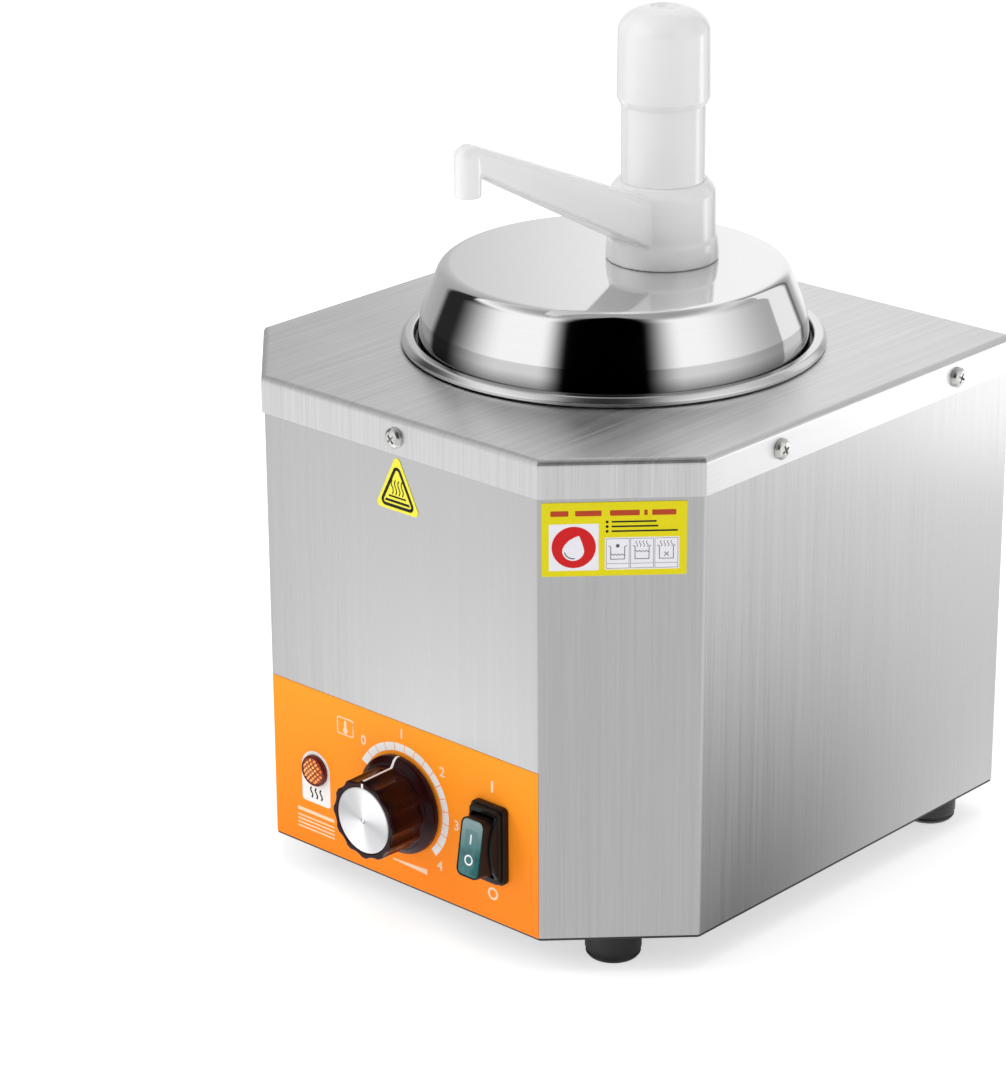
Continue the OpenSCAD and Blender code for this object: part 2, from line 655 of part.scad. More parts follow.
// Tapered arm with a rounded top, from the collar to the nozzle
module arm() {
    root = 16;
    tip = arm_reach - 2.5;
    hull($fn = 20) for (s = [-1, 1]) {
        translate([s * 7.2, -root, arm_top(root) - 3.8]) sphere(3.8);
        translate([s * 10, -root, arm_low(root) + 1]) sphere(1);
        translate([s * 1.7, -tip, arm_top(tip) - 3.4]) sphere(3.4);
        translate([s * 4, -tip, arm_low(tip) + 1]) sphere(1);
    }
}

module spout_collar() {
    mid_root = (arm_top(15) + arm_low(15)) / 2;
    mid_tip = nozzle_top - 5;
    color("white") at_pump() difference() {
        union() {
            turned(concat([[0, 0.85], [21.8, 0.85], [21.8, 3], [21.3, 8.2], [collar_r, 9.6],
                    [collar_r, 24.6]],
                arc(tube_r + 0.3, collar_top - 6, 4.2, 0, 65, 4),
                [[tube_r + 1.2, collar_top], [0, collar_top]]));
            arm();
            translate([0, -arm_reach, 0]) turned(concat(
                [[0, nozzle_bottom], [nozzle_r - 0.5, nozzle_bottom], [nozzle_r, nozzle_bottom + 0.7]],
                arc(nozzle_r - 3.6, nozzle_top - 3.6, 3.6, 0, 90, 5), [[0, nozzle_top]]));
        }
        disc(barrel_r + running, 0, chamber_z);
        disc(bore_r, chamber_z - 0.01, guide_z);
        disc(tube_r + running, guide_z - 0.01, collar_top + over);
        rod([0, -15, mid_root], [0, -arm_reach, mid_tip], 3.4);
        translate([0, -arm_reach, nozzle_bottom - over]) cylinder(r = 3.2, h = mid_tip - nozzle_bottom + 1.5);
    }
}

module pump_gasket() color([0.25, 0.25, 0.25]) at_pump() ring(barrel_r + running, 21.2, eps, 0.8);

module lock_nut() color("white") at_pump() difference() {
    disc(25, -lid_wall - 0.1 - 8, -lid_wall - 0.1);
    disc(barrel_r + running, -20, over);
    for (i = [0:11]) rotate(i * 30) translate([26.5, 0, -20]) cylinder(r = 3, h = 30);
}

module barrel() color("white") at_pump() ring(bore_r, barrel_r, barrel_bottom, chamber_z - eps);

module wiper_ring() color("gray") at_pump() ring(tube_r + running, bore_r - eps, wiper_z, guide_z - eps);

// Screws into the barrel's lower end: ball seat, ball cage and castellated intake
module foot_valve() {
    seat = 4.5;
    seat_z = -154;
    cage_r = 9.5;
    color("white") at_pump() difference() {
        union() {
            disc(barrel_r, -166, barrel_bottom - eps);
            disc(bore_r - running, barrel_bottom - 2, valve_top);
        }
        disc(15, -167, -160);
        for (i = [0:2]) rotate(i * 60) translate([-30, -4, -167]) cube([60, 8, 5]);
        disc(seat, -161, seat_z + 0.01);
        translate([0, 0, seat_z]) cylinder(r1 = seat, r2 = cage_r, h = cage_r - seat);
        disc(cage_r, seat_z + cage_r - seat - 0.01, valve_top - 2);
        for (i = [0:3]) rotate(i * 90) translate([8, 0]) disc(2.6, valve_top - 3, valve_top + over);
    }
}

module intake_ball() color("silver") at_pump()
    translate([0, 0, -154 + ball_r * SQ - 4.5 + eps]) sphere(ball_r);

module return_spring() {
    wire = 0.9;
    coil_r = 14.5;
    coils = 7;
    steps = 22;                          // sections in each coil
    low = valve_top + wire + eps;
    pitch = (piston_bottom - valve_top - 2 * (wire + eps)) / coils;
    path = [for (i = [0:coils * steps]) let (a = i * 360 / steps)
        [coil_r * cos(a), coil_r * sin(a), low + pitch * i / steps]];
    color("silver") at_pump() swept(path, wire, sides = 6);
}

// ---- plunger ----

module push_cap() {
    dome = 10.5;
    inner = tube_r + 0.02;
    color("white") at_pump() turned(concat(
        [[inner, cap_bottom], [inner + 0.4, cap_bottom], [cap_r, cap_bottom + 2.5],
            [cap_r - 0.3, cap_top - dome]],
        [for (i = [1:8]) let (a = i * 11.25)
            [2 + (cap_r - 2.3) * cos(a), cap_top - dome + dome * sin(a)]],
        [[2, cap_top - 0.6], [0, cap_top - 0.8], [0, cap_top - dome + 2.5], [inner - 2, cap_top - dome + 2.5],
            [inner, cap_top - dome]]));
}

module plunger_tube() color("white") at_pump() difference() {
    ring(14, tube_r, tube_bottom, cap_top - 10.5);
    for (a = [0, 90]) rotate(a) translate([0, 0, -48]) rotate([0, 90, 0])
        cylinder(r = 3, h = 60, center = true);
}

module piston() {
    seat = 4;
    seat_z = -74;
    cage_r = 9;
    color("white") at_pump() difference() {
        union() {
            disc(17.4, piston_bottom, tube_bottom - eps);
            disc(13.95, tube_bottom - 1, -55);
        }
        ring(15.6, 19, -76, -71);
        disc(seat, piston_bottom - over, seat_z + 0.01);
        translate([0, 0, seat_z]) cylinder(r1 = seat, r2 = cage_r, h = cage_r - seat);
        disc(cage_r, seat_z + cage_r - seat - 0.01, -58);
        for (i = [0:3]) rotate(i * 90) translate([7.5, 0]) disc(2.6, -60, -54);
    }
}

module piston_seal() color([0.2, 0.2, 0.2]) at_pump() ring(15.65, bore_r - running, -75.95, -71.05);

module transfer_ball() color("silver") at_pump()
    translate([0, 0, -74 + small_ball_r * SQ - 4 + eps]) sphere(small_ball_r);

shell();
top_cover();
back_panel();
base_plate();
feet();
foot_screws();
cover_screws();
clinch_nuts();
back_screws();
control_panel();
heat_sticker();
water_label();
water_tank();
heating_element();
element_nuts();
thermostat();
thermostat_screws();
capillary_bulb();
lamp_bezel();
lamp_lens();
lamp_body();
switch_housing();
switch_terminals();
terminal_block();
wiring();
strain_relief();
power_cord();
plug_body();
plug_pins();
pot();
lid();
spout_collar();
pump_gasket();
lock_nut();
barrel();
wiper_ring();
foot_valve();
intake_ball();
return_spring();
push_cap();
plunger_tube();
piston();
piston_seal();
transfer_ball();
knob();
knob_disc();
knob_pointer();
knob_grub_screw();
thermostat_shaft();
rocker();
rocker_lens();
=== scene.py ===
"""Studio scene of a heated cheese dispenser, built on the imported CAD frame.

Shapes are worked out in millimetres and stored in metres. Each visible piece rides on the body of the
CAD node that it stands for. CAD nodes whose shape is right keep their mesh and get a new material.
"""
import json
from math import atan2, cos, pi, radians, sin, sqrt, tan, tau

import bmesh
import bpy
from mathutils import Matrix, Vector

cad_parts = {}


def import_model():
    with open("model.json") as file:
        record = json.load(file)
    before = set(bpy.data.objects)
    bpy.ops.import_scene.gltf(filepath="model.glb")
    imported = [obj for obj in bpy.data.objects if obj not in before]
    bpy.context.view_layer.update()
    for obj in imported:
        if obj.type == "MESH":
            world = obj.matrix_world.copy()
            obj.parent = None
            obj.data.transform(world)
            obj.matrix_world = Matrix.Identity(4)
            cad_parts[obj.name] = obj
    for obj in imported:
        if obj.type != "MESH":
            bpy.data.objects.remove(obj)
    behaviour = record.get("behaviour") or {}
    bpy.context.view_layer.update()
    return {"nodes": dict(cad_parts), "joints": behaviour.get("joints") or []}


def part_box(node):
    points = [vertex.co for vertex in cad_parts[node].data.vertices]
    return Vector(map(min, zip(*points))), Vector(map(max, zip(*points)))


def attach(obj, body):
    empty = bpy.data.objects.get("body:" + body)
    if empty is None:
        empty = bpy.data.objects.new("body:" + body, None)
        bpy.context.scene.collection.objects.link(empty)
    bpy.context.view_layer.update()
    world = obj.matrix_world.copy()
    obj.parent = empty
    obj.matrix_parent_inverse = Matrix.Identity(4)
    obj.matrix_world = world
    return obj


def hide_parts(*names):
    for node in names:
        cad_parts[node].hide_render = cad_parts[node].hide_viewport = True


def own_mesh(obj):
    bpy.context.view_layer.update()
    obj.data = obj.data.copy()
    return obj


MM = 0.001
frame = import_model()

# ---------------------------------------------------------------- placing


def box(node):
    """Lowest and highest corner of a CAD node, in millimetres."""
    low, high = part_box(node)
    return low / MM, high / MM


def joint(name):
    return next(j for j in frame["joints"] if j["name"] == name)


def joint_place(name):
    """Place of a hinge, in millimetres."""
    return Vector(joint(name)["pos_m"]) / MM


def islands(node):
    """Lowest and highest corner of each loose part of a CAD node, in millimetres."""
    mesh = frame["nodes"][node].data
    parent = {}

    def root(key):
        while parent[key] != key:
            parent[key] = parent[parent[key]]
            key = parent[key]
        return key

    keys = [tuple(round(c / MM, 2) for c in v.co) for v in mesh.vertices]
    for key in keys:
        parent[key] = key
    for edge in mesh.edges:
        a, b = (root(keys[i]) for i in edge.vertices)
        parent[a] = b
    groups = {}
    for key in set(keys):
        groups.setdefault(root(key), []).append(key)
    found = []
    for points in groups.values():
        low = Vector([min(p[i] for p in points) for i in range(3)])
        high = Vector([max(p[i] for p in points) for i in range(3)])
        found.append((low, high))
    return sorted(found, key=lambda pair: tuple(pair[0]))


def frame_at(origin, right, up):
    """Matrix that takes x to right, y to up and z out of the surface."""
    right, up = Vector(right).normalized(), Vector(up).normalized()
    out = right.cross(up)
    matrix = Matrix((right, up, out)).transposed().to_4x4()
    matrix.translation = Vector(origin)
    return matrix


def lift(z, x=0.0, y=0.0):
    """Shift in a surface's own frame."""
    return Matrix.Translation((x, y, z))


# ---------------------------------------------------------------- outlines


def fillet(corners, steps=6, closed=False):
    """Rounds the corners (x, y, radius) of a line or a closed outline and returns its points."""
    points = []
    count = len(corners)
    for i, (x, y, radius) in enumerate(corners):
        here = Vector((x, y))
        at_end = not closed and i in (0, count - 1)
        if radius == 0 or at_end:
            points.append(here)
            continue
        before = (Vector(corners[i - 1][:2]) - here).normalized()
        after = (Vector(corners[(i + 1) % count][:2]) - here).normalized()
        half = before.angle(after) / 2
        centre = here + (before + after).normalized() * radius / sin(half)
        reach = radius / tan(half)
        start = here + before * reach - centre
        sweep = start.angle_signed(here + after * reach - centre)
        for k in range(steps + 1):
            turn = Matrix.Rotation(-sweep * k / steps, 2)
            points.append(centre + turn @ start)
    return points


def round_rect(x0, y0, x1, y1, radius, steps=6):
    return fillet([(x0, y0, radius), (x1, y0, radius), (x1, y1, radius), (x0, y1, radius)],
                  steps, closed=True)


def circle(x, y, radius, steps=48):
    return [Vector((x + radius * cos(tau * k / steps), y + radius * sin(tau * k / steps)))
            for k in range(steps)]


def arc(x, y, wide, tall, degrees):
    """Points of an ellipse about (x, y) at the given degrees."""
    return [Vector((x + wide * cos(radians(a)), y + tall * sin(radians(a)))) for a in degrees]


def dial_arc(r0, r1, start, end, steps=8):
    """Band between two radii, its angles in degrees clockwise from the top."""
    angles = [radians(start + (end - start) * k / steps) for k in range(steps + 1)]
    outer = [Vector((r1 * sin(a), r1 * cos(a))) for a in angles]
    inner = [Vector((r0 * sin(a), r0 * cos(a))) for a in reversed(angles)]
    return outer + inner


def stroke(points, width, closed=False):
    """Outlines of a pen line through the points, as one band with mitred corners."""
    points = [Vector(p) for p in points]
    count = len(points)
    left, right = [], []
    for i, here in enumerate(points):
        before = points[i - 1] if (i > 0 or closed) else here * 2 - points[1]
        after = points[(i + 1) % count] if (i < count - 1 or closed) else here * 2 - points[i - 1]
        a, b = (here - before).normalized(), (after - here).normalized()
        middle = (a + b).normalized()
        normal = Vector((-middle.y, middle.x)) * width / 2 / max(0.35, middle.dot(a))
        left.append(here + normal)
        right.append(here - normal)
    if not closed:
        return [left + right[::-1]]
    bands = []
    for i in range(count):
        j = (i + 1) % count
        bands.append([left[i], left[j], right[j], right[i]])
    return bands


# ---------------------------------------------------------------- meshes


def linked(name, data):
    """New object in the scene."""
    obj = bpy.data.objects.new(name, data)
    bpy.context.scene.collection.objects.link(obj)
    return obj


def mesh_object(name, points, faces, matrix=Matrix(), sharp=30, body=None, weld=False):
    """Smooth-shaded mesh from points in millimetres, with edges sharper than an angle kept hard."""
    mesh = bpy.data.meshes.new(name)
    mesh.from_pydata([(matrix @ Vector(p)) * MM for p in points], [], faces)
    bm = bmesh.new()
    bm.from_mesh(mesh)
    if weld:
        bmesh.ops.remove_doubles(bm, verts=bm.verts, dist=1e-7)
    bmesh.ops.recalc_face_normals(bm, faces=bm.faces)
    bm.to_mesh(mesh)
    bm.free()
    obj = linked(name, mesh)
    smooth(obj, sharp)
    if body:
        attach(obj, body)
    return obj


def smooth(obj, sharp=30):
    """Smooth shading, with edges sharper than an angle kept hard."""
    obj.data.shade_smooth()
    obj.data.set_sharp_from_angle(angle=radians(sharp))


def lathe_data(profile, segments=128, closed=False, shape=None):
    """Points and faces of a profile [(radius, height)] turned about z."""
    points, faces, rings = [], [], []
    for radius, height in profile:
        first = len(points)
        if radius < 1e-5:
            points.append((0, 0, height))
            rings.append([first])
            continue
        for k in range(segments):
            angle = tau * k / segments
            r = shape(radius, height, angle) if shape else radius
            points.append((r * cos(angle), r * sin(angle), height))
        rings.append(list(range(first, first + segments)))
    pairs = list(zip(rings, rings[1:]))
    if closed:
        pairs.append((rings[-1], rings[0]))
    for a, b in pairs:
        for k in range(segments):
            j = (k + 1) % segments
            if len(a) == 1 and len(b) > 1:
                faces.append((a[0], b[k], b[j]))
            elif len(b) == 1 and len(a) > 1:
                faces.append((a[k], b[0], a[j]))
            elif len(a) > 1:
                faces.append((a[k], b[k], b[j], a[j]))
    return points, faces


def lathe(name, profile, matrix=Matrix(), segments=128, closed=False, shape=None, **settings):
    """Piece made of a profile [(radius, height)] turned about z."""
    points, faces = lathe_data(profile, segments, closed, shape)
    return mesh_object(name, points, faces, matrix, **settings)


def loft(rings):
    """Points and faces of a bar through rings of equally many points, its ends closed."""
    n = len(rings[0])
    faces = [tuple(range(n))[::-1], tuple((len(rings) - 1) * n + k for k in range(n))]
    for first in range(0, (len(rings) - 1) * n, n):
        for k in range(n):
            j = (k + 1) % n
            faces.append((first + k, first + j, first + n + j, first + n + k))
    return [p for ring in rings for p in ring], faces


def joined(meshes):
    """Points and faces of several meshes as one."""
    points, faces = [], []
    for more_points, more_faces in meshes:
        shift = len(points)
        points += more_points
        faces += [tuple(shift + k for k in face) for face in more_faces]
    return points, faces


def copies(points, faces, places):
    """Points and faces of the same mesh at each place."""
    return joined(([place @ Vector(p) for p in points], faces) for place in places)


def prisms(name, outlines, z0, z1, matrix=Matrix(), bevel=0.0, **settings):
    """Flat plates with the given outlines, from height z0 to z1, as one piece."""
    points, faces = joined(loft([[(p[0], p[1], z) for p in outline] for z in (z0, z1)])
                           for outline in outlines)
    obj = mesh_object(name, points, faces, matrix, **settings)
    if bevel:
        bevel_edges(obj, bevel)
    return obj


def printed(name, outlines, place, ink, low=0.0, high=0.04, body="housing", weld=False):
    """Thin print or film, from one height to another above a surface."""
    paint(prisms(name, outlines, low, high, place, body=body, weld=weld), ink)


def bevel_edges(obj, width):
    """Rounds every sharp edge."""
    bm = bmesh.new()
    bm.from_mesh(obj.data)
    edges = [e for e in bm.edges if e.is_manifold and e.calc_face_angle(0) > radians(30)]
    bmesh.ops.bevel(bm, geom=edges, offset=width * MM, segments=3, profile=0.5,
                    affect="EDGES", clamp_overlap=True)
    bm.to_mesh(obj.data)
    bm.free()
    smooth(obj, 40)


def evaluated(obj):
    """Mesh of an object with its modifiers applied."""
    bpy.context.view_layer.update()
    graph = bpy.context.evaluated_depsgraph_get()
    return bpy.data.meshes.new_from_object(obj.evaluated_get(graph))


def mesh_data(mesh, unit=1.0):
    """Points of a mesh in the given unit, and its faces."""
    return [v.co / unit for v in mesh.vertices], [tuple(face.vertices) for face in mesh.polygons]


def apply_modifiers(obj):
    """Bakes the object's modifiers into its mesh."""
    mesh = evaluated(obj)
    obj.modifiers.clear()
    obj.data = mesh


def combine(obj, tool, operation):
    """Boolean of two meshes; the tool is used up."""
    modifier = obj.modifiers.new("boolean", "BOOLEAN")
    modifier.object = tool
    modifier.operation = operation
    modifier.solver = "EXACT"
    apply_modifiers(obj)
    bpy.data.objects.remove(tool)


def sweep(name, path, radius, matrix=Matrix(), sides=20, **settings):
    """Round bar along a path, its ends closed."""
    path = [Vector(p) for p in path]
    rings = []
    last = len(path) - 1
    normal = None
    for i, here in enumerate(path):
        ahead = (path[min(i + 1, last)] - path[max(i - 1, 0)]).normalized()
        if normal is None:
            normal = ahead.orthogonal().normalized()
        normal = (normal - ahead * normal.dot(ahead)).normalized()
        side = ahead.cross(normal)
        angles = [tau * k / sides for k in range(sides)]
        rings.append([here + radius * (normal * cos(a) + side * sin(a)) for a in angles])
    points, faces = loft(rings)
    return mesh_object(name, points, faces, matrix, **settings)


def curve_points(points, steps=10):
    """Smooth curve through the points."""
    p = [Vector(q) for q in points]
    p = [p[0] * 2 - p[1]] + p + [p[-1] * 2 - p[-2]]
    result = []
    for i in range(1, len(p) - 2):
        for k in range(steps):
            t = k / steps
            result.append(p[i] + (p[i + 1] - p[i - 1]) * (t / 2)
                          + (p[i - 1] * 2 - p[i] * 5 + p[i + 1] * 4 - p[i + 2]) * (t * t / 2)
                          + (p[i] * 3 - p[i - 1] - p[i + 1] * 3 + p[i + 2]) * (t ** 3 / 2))
    return result + [p[-2]]


def number(name, text, size, matrix, **settings):
    """A plain numeral, centred, as a thin raised print."""
    curve = bpy.data.curves.new(name + "_curve", "FONT")
    curve.body = text
    curve.size = size
    curve.extrude = 0.02
    curve.offset = 0.10
    curve.align_x = "CENTER"
    curve.align_y = "CENTER"
    curve.resolution_u = 3
    holder = linked(name + "_text", curve)
    points, faces = mesh_data(evaluated(holder))
    bpy.data.objects.remove(holder)
    return mesh_object(name, points, faces, matrix, weld=True, **settings)


# ---------------------------------------------------------------- materials


class Shader:
    """A material's node tree, with short calls for the nodes used here."""

    def __init__(self, name, material=None):
        self.material = material or bpy.data.materials.new(name)
        self.material.use_nodes = True
        self.tree = self.material.node_tree
        self.surface = self.tree.nodes["Principled BSDF"]

    def add(self, kind, inputs=None, **settings):
        made = self.tree.nodes.new("ShaderNode" + kind)
        for key, value in settings.items():
            setattr(made, key, value)
        for key, value in (inputs or {}).items():
            self.put(made, key, value)
        return made

    def put(self, target, key, value):
        if isinstance(value, bpy.types.NodeSocket):
            self.tree.links.new(value, target.inputs[key])
        else:
            target.inputs[key].default_value = value

    def set(self, **values):
        for key, value in values.items():
            self.put(self.surface, key.replace("_", " "), value)

    def coords(self, scale=(1, 1, 1)):
        source = self.add("TexCoord").outputs["Object"]
        return self.add("Mapping", {"Vector": source, "Scale": scale}).outputs["Vector"]

    def noise(self, vector, scale=1.0, detail=3.0, roughness=0.55, distortion=0.0):
        return self.add("TexNoise", {"Vector": vector, "Scale": scale, "Detail": detail,
                                     "Roughness": roughness, "Distortion": distortion}).outputs["Fac"]

    def stretched(self, scale, detail, roughness, distortion=0.0):
        """Noise drawn out by a different amount along each axis."""
        return self.noise(self.coords(scale), 1.0, detail, roughness, distortion)

    def tangent(self, axis="Z"):
        """Direction that runs round an axis."""
        return self.add("Tangent", direction_type="RADIAL", axis=axis).outputs[0]

    def remap(self, value, low, high, start=0.3, end=0.7):
        return self.add("MapRange", {"Value": value, "From Min": start, "From Max": end,
                                     "To Min": low, "To Max": high}).outputs["Result"]

    def math(self, operation, a, b=0.0):
        return self.add("Math", {0: a, 1: b}, operation=operation).outputs[0]

    def plus(self, a, b):
        return self.math("ADD", a, b)

    def minus(self, a, b):
        return self.math("SUBTRACT", a, b)

    def times(self, a, b):
        return self.math("MULTIPLY", a, b)

    def part(self, vector, axis):
        """One of the three parts of a vector."""
        return self.add("SeparateXYZ", {0: vector}).outputs[axis]

    def normal_part(self, axis):
        return self.part(self.add("NewGeometry").outputs["Normal"], axis)

    def offset(self, centre):
        """Place seen from a centre (metres)."""
        return self.add("VectorMath", {0: self.coords(), 1: tuple(centre)}, operation="SUBTRACT").outputs[0]

    def about(self, centre, across=("X", "Y")):
        """The parts of the place seen from a centre, and its distance in the plane across."""
        parts = self.add("SeparateXYZ", {0: self.offset(centre)}).outputs
        flat = self.add("CombineXYZ", {0: parts[across[0]], 1: parts[across[1]]}).outputs[0]
        return parts, self.add("VectorMath", {0: flat}, operation="LENGTH").outputs["Value"]

    def old_colour(self):
        """What colours the material so far."""
        return self.surface.inputs["Base Color"].links[0].from_socket

    def mix(self, factor, a, b):
        made = self.add("Mix", data_type="RGBA")
        self.put(made, 0, factor)
        self.put(made, 6, a)
        self.put(made, 7, b)
        return made.outputs[2]

    def shade(self, colour, value, amount):
        """Colour made lighter and darker by amount as value runs over a noise's range."""
        low = tuple(c * (1 - amount) for c in colour) + (1,)
        high = tuple(min(1.0, c * (1 + amount)) for c in colour) + (1,)
        return self.mix(self.remap(value, 0, 1), low, high)

    def bump(self, height, strength, distance):
        inputs = {"Height": height, "Strength": strength, "Distance": distance}
        return self.add("Bump", inputs).outputs["Normal"]


# Where the cover's right-hand flange takes over from its chamfer, along y (metres); the flange's painted
# highlight fades in there
FLANGE_BEGINS = (-0.072, -0.060)


def brushed_steel(name, colour, grain, axis, contrast, rough=0.3, side_grain=None):
    """Steel sheet with a straight grain, given as the stretch of its noise. A sheet with a side grain is
    a cover: its flanges have that grain, and its right-hand flange gets a painted highlight that makes it
    paler."""
    s = Shader(name)
    fine = s.stretched(grain, 4.0, 0.7)
    coarse = s.stretched(tuple(g * 0.23 for g in grain), 2.0, 0.5)
    if side_grain:
        side = s.remap(s.math("ABSOLUTE", s.normal_part("X")), 0, 1, 0.85, 0.9)
        fine_side = s.stretched(side_grain, 4.0, 0.7)
        fine = s.plus(s.times(fine_side, side), s.times(fine, s.minus(1.0, side)))
    cloud = s.stretched((9, 9, 5), 3.0, 0.6)
    mixed = s.plus(s.times(fine, 0.62), s.times(coarse, 0.38))
    tone = s.shade(colour, mixed, contrast)
    tone = s.mix(s.remap(cloud, 0, 0.12), tone, (0.42, 0.42, 0.43, 1))
    tangent = s.tangent(axis)
    if side_grain:
        # painted highlight: the right-hand flange, facing +x past the chamfer, made paler
        mask = s.times(s.remap(s.normal_part("X"), 0, 1, 0.93, 0.99),
                       s.remap(s.part(s.coords(), "Y"), 0, 1, *FLANGE_BEGINS))
        tone = s.mix(mask, tone, (0.86, 0.86, 0.87, 1))
        upright = s.tangent()
        tilt = s.math("ABSOLUTE", s.normal_part("Z"))
        tangent = s.mix(s.remap(tilt, 1, 0, 0.3, 0.6), tangent, upright)
    s.set(Base_Color=tone, Metallic=1.0, Anisotropic=0.75, Tangent=tangent,
          Roughness=s.remap(mixed, rough - 0.06, rough + 0.08),
          Normal=s.bump(mixed, 0.04, 0.00003))
    return s.material


def spun_steel(name, colour, centre, rough, contrast=0.05, lines=1400, bump=0.15, anisotropic=0.5):
    """Steel turned on a lathe, with fine rings about a vertical axis at centre (metres)."""
    s = Shader(name)
    parts, radius = s.about(centre)
    rings = s.add("CombineXYZ", {0: s.times(radius, lines), 1: s.times(parts["Z"], lines)}).outputs[0]
    fine = s.noise(rings, 1.0, 4.0, 0.7)
    cloud = s.stretched((14, 14, 14), 3.0, 0.6)
    s.set(Base_Color=s.shade(colour, fine, contrast), Metallic=1.0, Anisotropic=anisotropic,
          Tangent=s.tangent(),
          Roughness=s.plus(s.remap(fine, rough * 0.8, rough * 1.2), s.remap(cloud, 0, 0.03)),
          Normal=s.bump(fine, bump, 0.00002))
    return s.material


def plastic(name, colour, rough=0.35, variation=0.03, grain=900, bump=0.08, coat=0.0, subsurface=0.0,
            shine=0.5):
    """Moulded plastic with a fine texture and a faint flow in its colour."""
    s = Shader(name)
    flow = s.stretched((30, 30, 55), 3.0, 0.6, 0.6)
    fine = s.noise(s.coords(), grain, 3.0, 0.6)
    s.set(Base_Color=s.shade(colour, flow, variation), Roughness=s.remap(flow, rough * 0.85, rough * 1.15),
          Normal=s.bump(fine, bump, 0.00004), Coat_Weight=coat, Coat_Roughness=0.08,
          Specular_IOR_Level=shine)
    if subsurface:
        s.set(Subsurface_Weight=subsurface, Subsurface_Radius=(1.0, 0.95, 0.9), Subsurface_Scale=0.002)
    return s.material


def print_ink(name, colour, rough=0.4, variation=0.05):
    """Screen-printed ink, slightly uneven."""
    s = Shader(name)
    body = s.noise(s.coords(), 2600, 3.0, 0.7)
    patch = s.noise(s.coords(), 160, 2.0, 0.5)
    s.set(Base_Color=s.shade(colour, s.plus(s.times(body, 0.6), s.times(patch, 0.4)), variation),
          Roughness=s.remap(patch, rough - 0.06, rough + 0.06), Normal=s.bump(body, 0.06, 0.00002),
          Specular_IOR_Level=0.15)
    return s.material


def machined(name, colour, rough=0.28, variation=0.08):
    """Small plated or turned metal parts, with light scratches."""
    s = Shader(name)
    scratch = s.stretched((1500, 300, 900), 4.0, 0.7)
    cloud = s.noise(s.coords(), 220, 2.0, 0.5)
    s.set(Base_Color=s.shade(colour, cloud, variation), Metallic=1.0,
          Roughness=s.remap(scratch, rough - 0.08, rough + 0.1), Normal=s.bump(scratch, 0.12, 0.00003))
    return s.material


def shadowed_gap(material, radius, height):
    """Darkens a turned steel inside a radius and below a height (metres): painted shade for the gap between
    lid and rim, which also darkens all of the pot below that height.
    """
    s = Shader(material.name, material)
    parts, reach = s.about(pot_axis * MM)
    mask = s.times(s.remap(reach, 1, 0, radius, radius + 0.0006),
                   s.remap(parts["Z"], 1, 0, height - 0.0010, height))
    # painted shade: near-black colour wherever the mask holds
    s.set(Base_Color=s.mix(mask, s.old_colour(), (0.012, 0.012, 0.013, 1)))


def leaning_band(material, height):
    """Shades the polished steel below a height (metres) as if it leaned back a little more, so that it shows
    the studio and not the deck; painted shade makes it a little darker there, and darker still towards its
    foot."""
    s = Shader(material.name, material)
    level = s.part(s.coords(), "Z")
    mask = s.remap(level, 1, 0, height - 0.0003, height + 0.0003)
    upward = s.add("CombineXYZ", {2: s.times(mask, 0.23)}).outputs[0]
    normal = s.add("VectorMath", {0: s.add("NewGeometry").outputs["Normal"], 1: upward}).outputs[0]
    normal = s.add("VectorMath", {0: normal}, operation="NORMALIZE").outputs[0]
    bump = s.surface.inputs["Normal"].links[0].from_node
    s.put(bump, "Normal", normal)
    # painted shade: darker towards the band's foot, next to the rim
    foot = s.remap(level, 1, 0, height - 0.0090, height - 0.0035)
    # painted shade: the band a little darker than the cone above it
    tone = s.mix(mask, s.old_colour(), (0.62, 0.62, 0.62, 1))
    s.set(Base_Color=s.mix(foot, tone, (0.20, 0.20, 0.20, 1)))


def paint(obj, material, node=None, body=None):
    """Gives a piece its finish and, where they are named, the CAD node it stands for and its body."""
    obj.data.materials.clear()
    obj.data.materials.append(material)
    if node:
        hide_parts(node)
    if body:
        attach(obj, body)


def paint_node(node, material):
    """Gives a CAD node a material and leaves its mesh as it is."""
    obj = frame["nodes"][node]
    if not obj.material_slots:
        obj.data.materials.append(material)
    for place in obj.material_slots:
        place.material = material


# ---------------------------------------------------------------- measures from the frame

cover_low, cover_high = box("top_cover")
panel_low, panel_high = box("control_panel")
pot_low, pot_high = box("pot")
lid_low, lid_high = box("lid")
cap_low, cap_high = box("push_cap")
tube_low, tube_high = box("plunger_tube")
collar_low, collar_high = box("spout_collar")
knob_low, knob_high = box("knob")
bezel_low, bezel_high = box("lamp_bezel")
switch_low, switch_high = box("switch_housing")

deck_z = cover_high.z
panel_y = panel_low.y
pot_axis = Vector(((pot_low.x + pot_high.x) / 2, (pot_low.y + pot_high.y) / 2, 0))
pump_axis = joint_place("pump_swivel")
lid_top = lid_high.z
knob_place = joint_place("knob_turn")
rocker_place = joint_place("rocker_toggle")
lamp_place = (bezel_low + bezel_high) / 2
tube_r = (tube_high.x - tube_low.x) / 2
nozzle_reach = pump_axis.y - (collar_low.y + 5.1)

# Radius of the lamp's lens, and how many of its pyramids lie across it
LAMP_R, LAMP_CELLS = 5.2, 6.5
# Radius of the hole for the pump through the lid
PUMP_HOLE_R = 19.35

front = frame_at((0, panel_y, 0), (1, 0, 0), (0, 0, 1))
at_pump = Matrix.Translation((pump_axis.x, pump_axis.y, lid_top))
at_nozzle = at_pump @ lift(0, 0, -nozzle_reach)
at_pot = Matrix.Translation(pot_axis)
on_knob = front @ lift(0, knob_place.x, knob_place.z)
on_lamp = front @ lift(0, lamp_place.x, lamp_place.z)

# ---------------------------------------------------------------- finishes

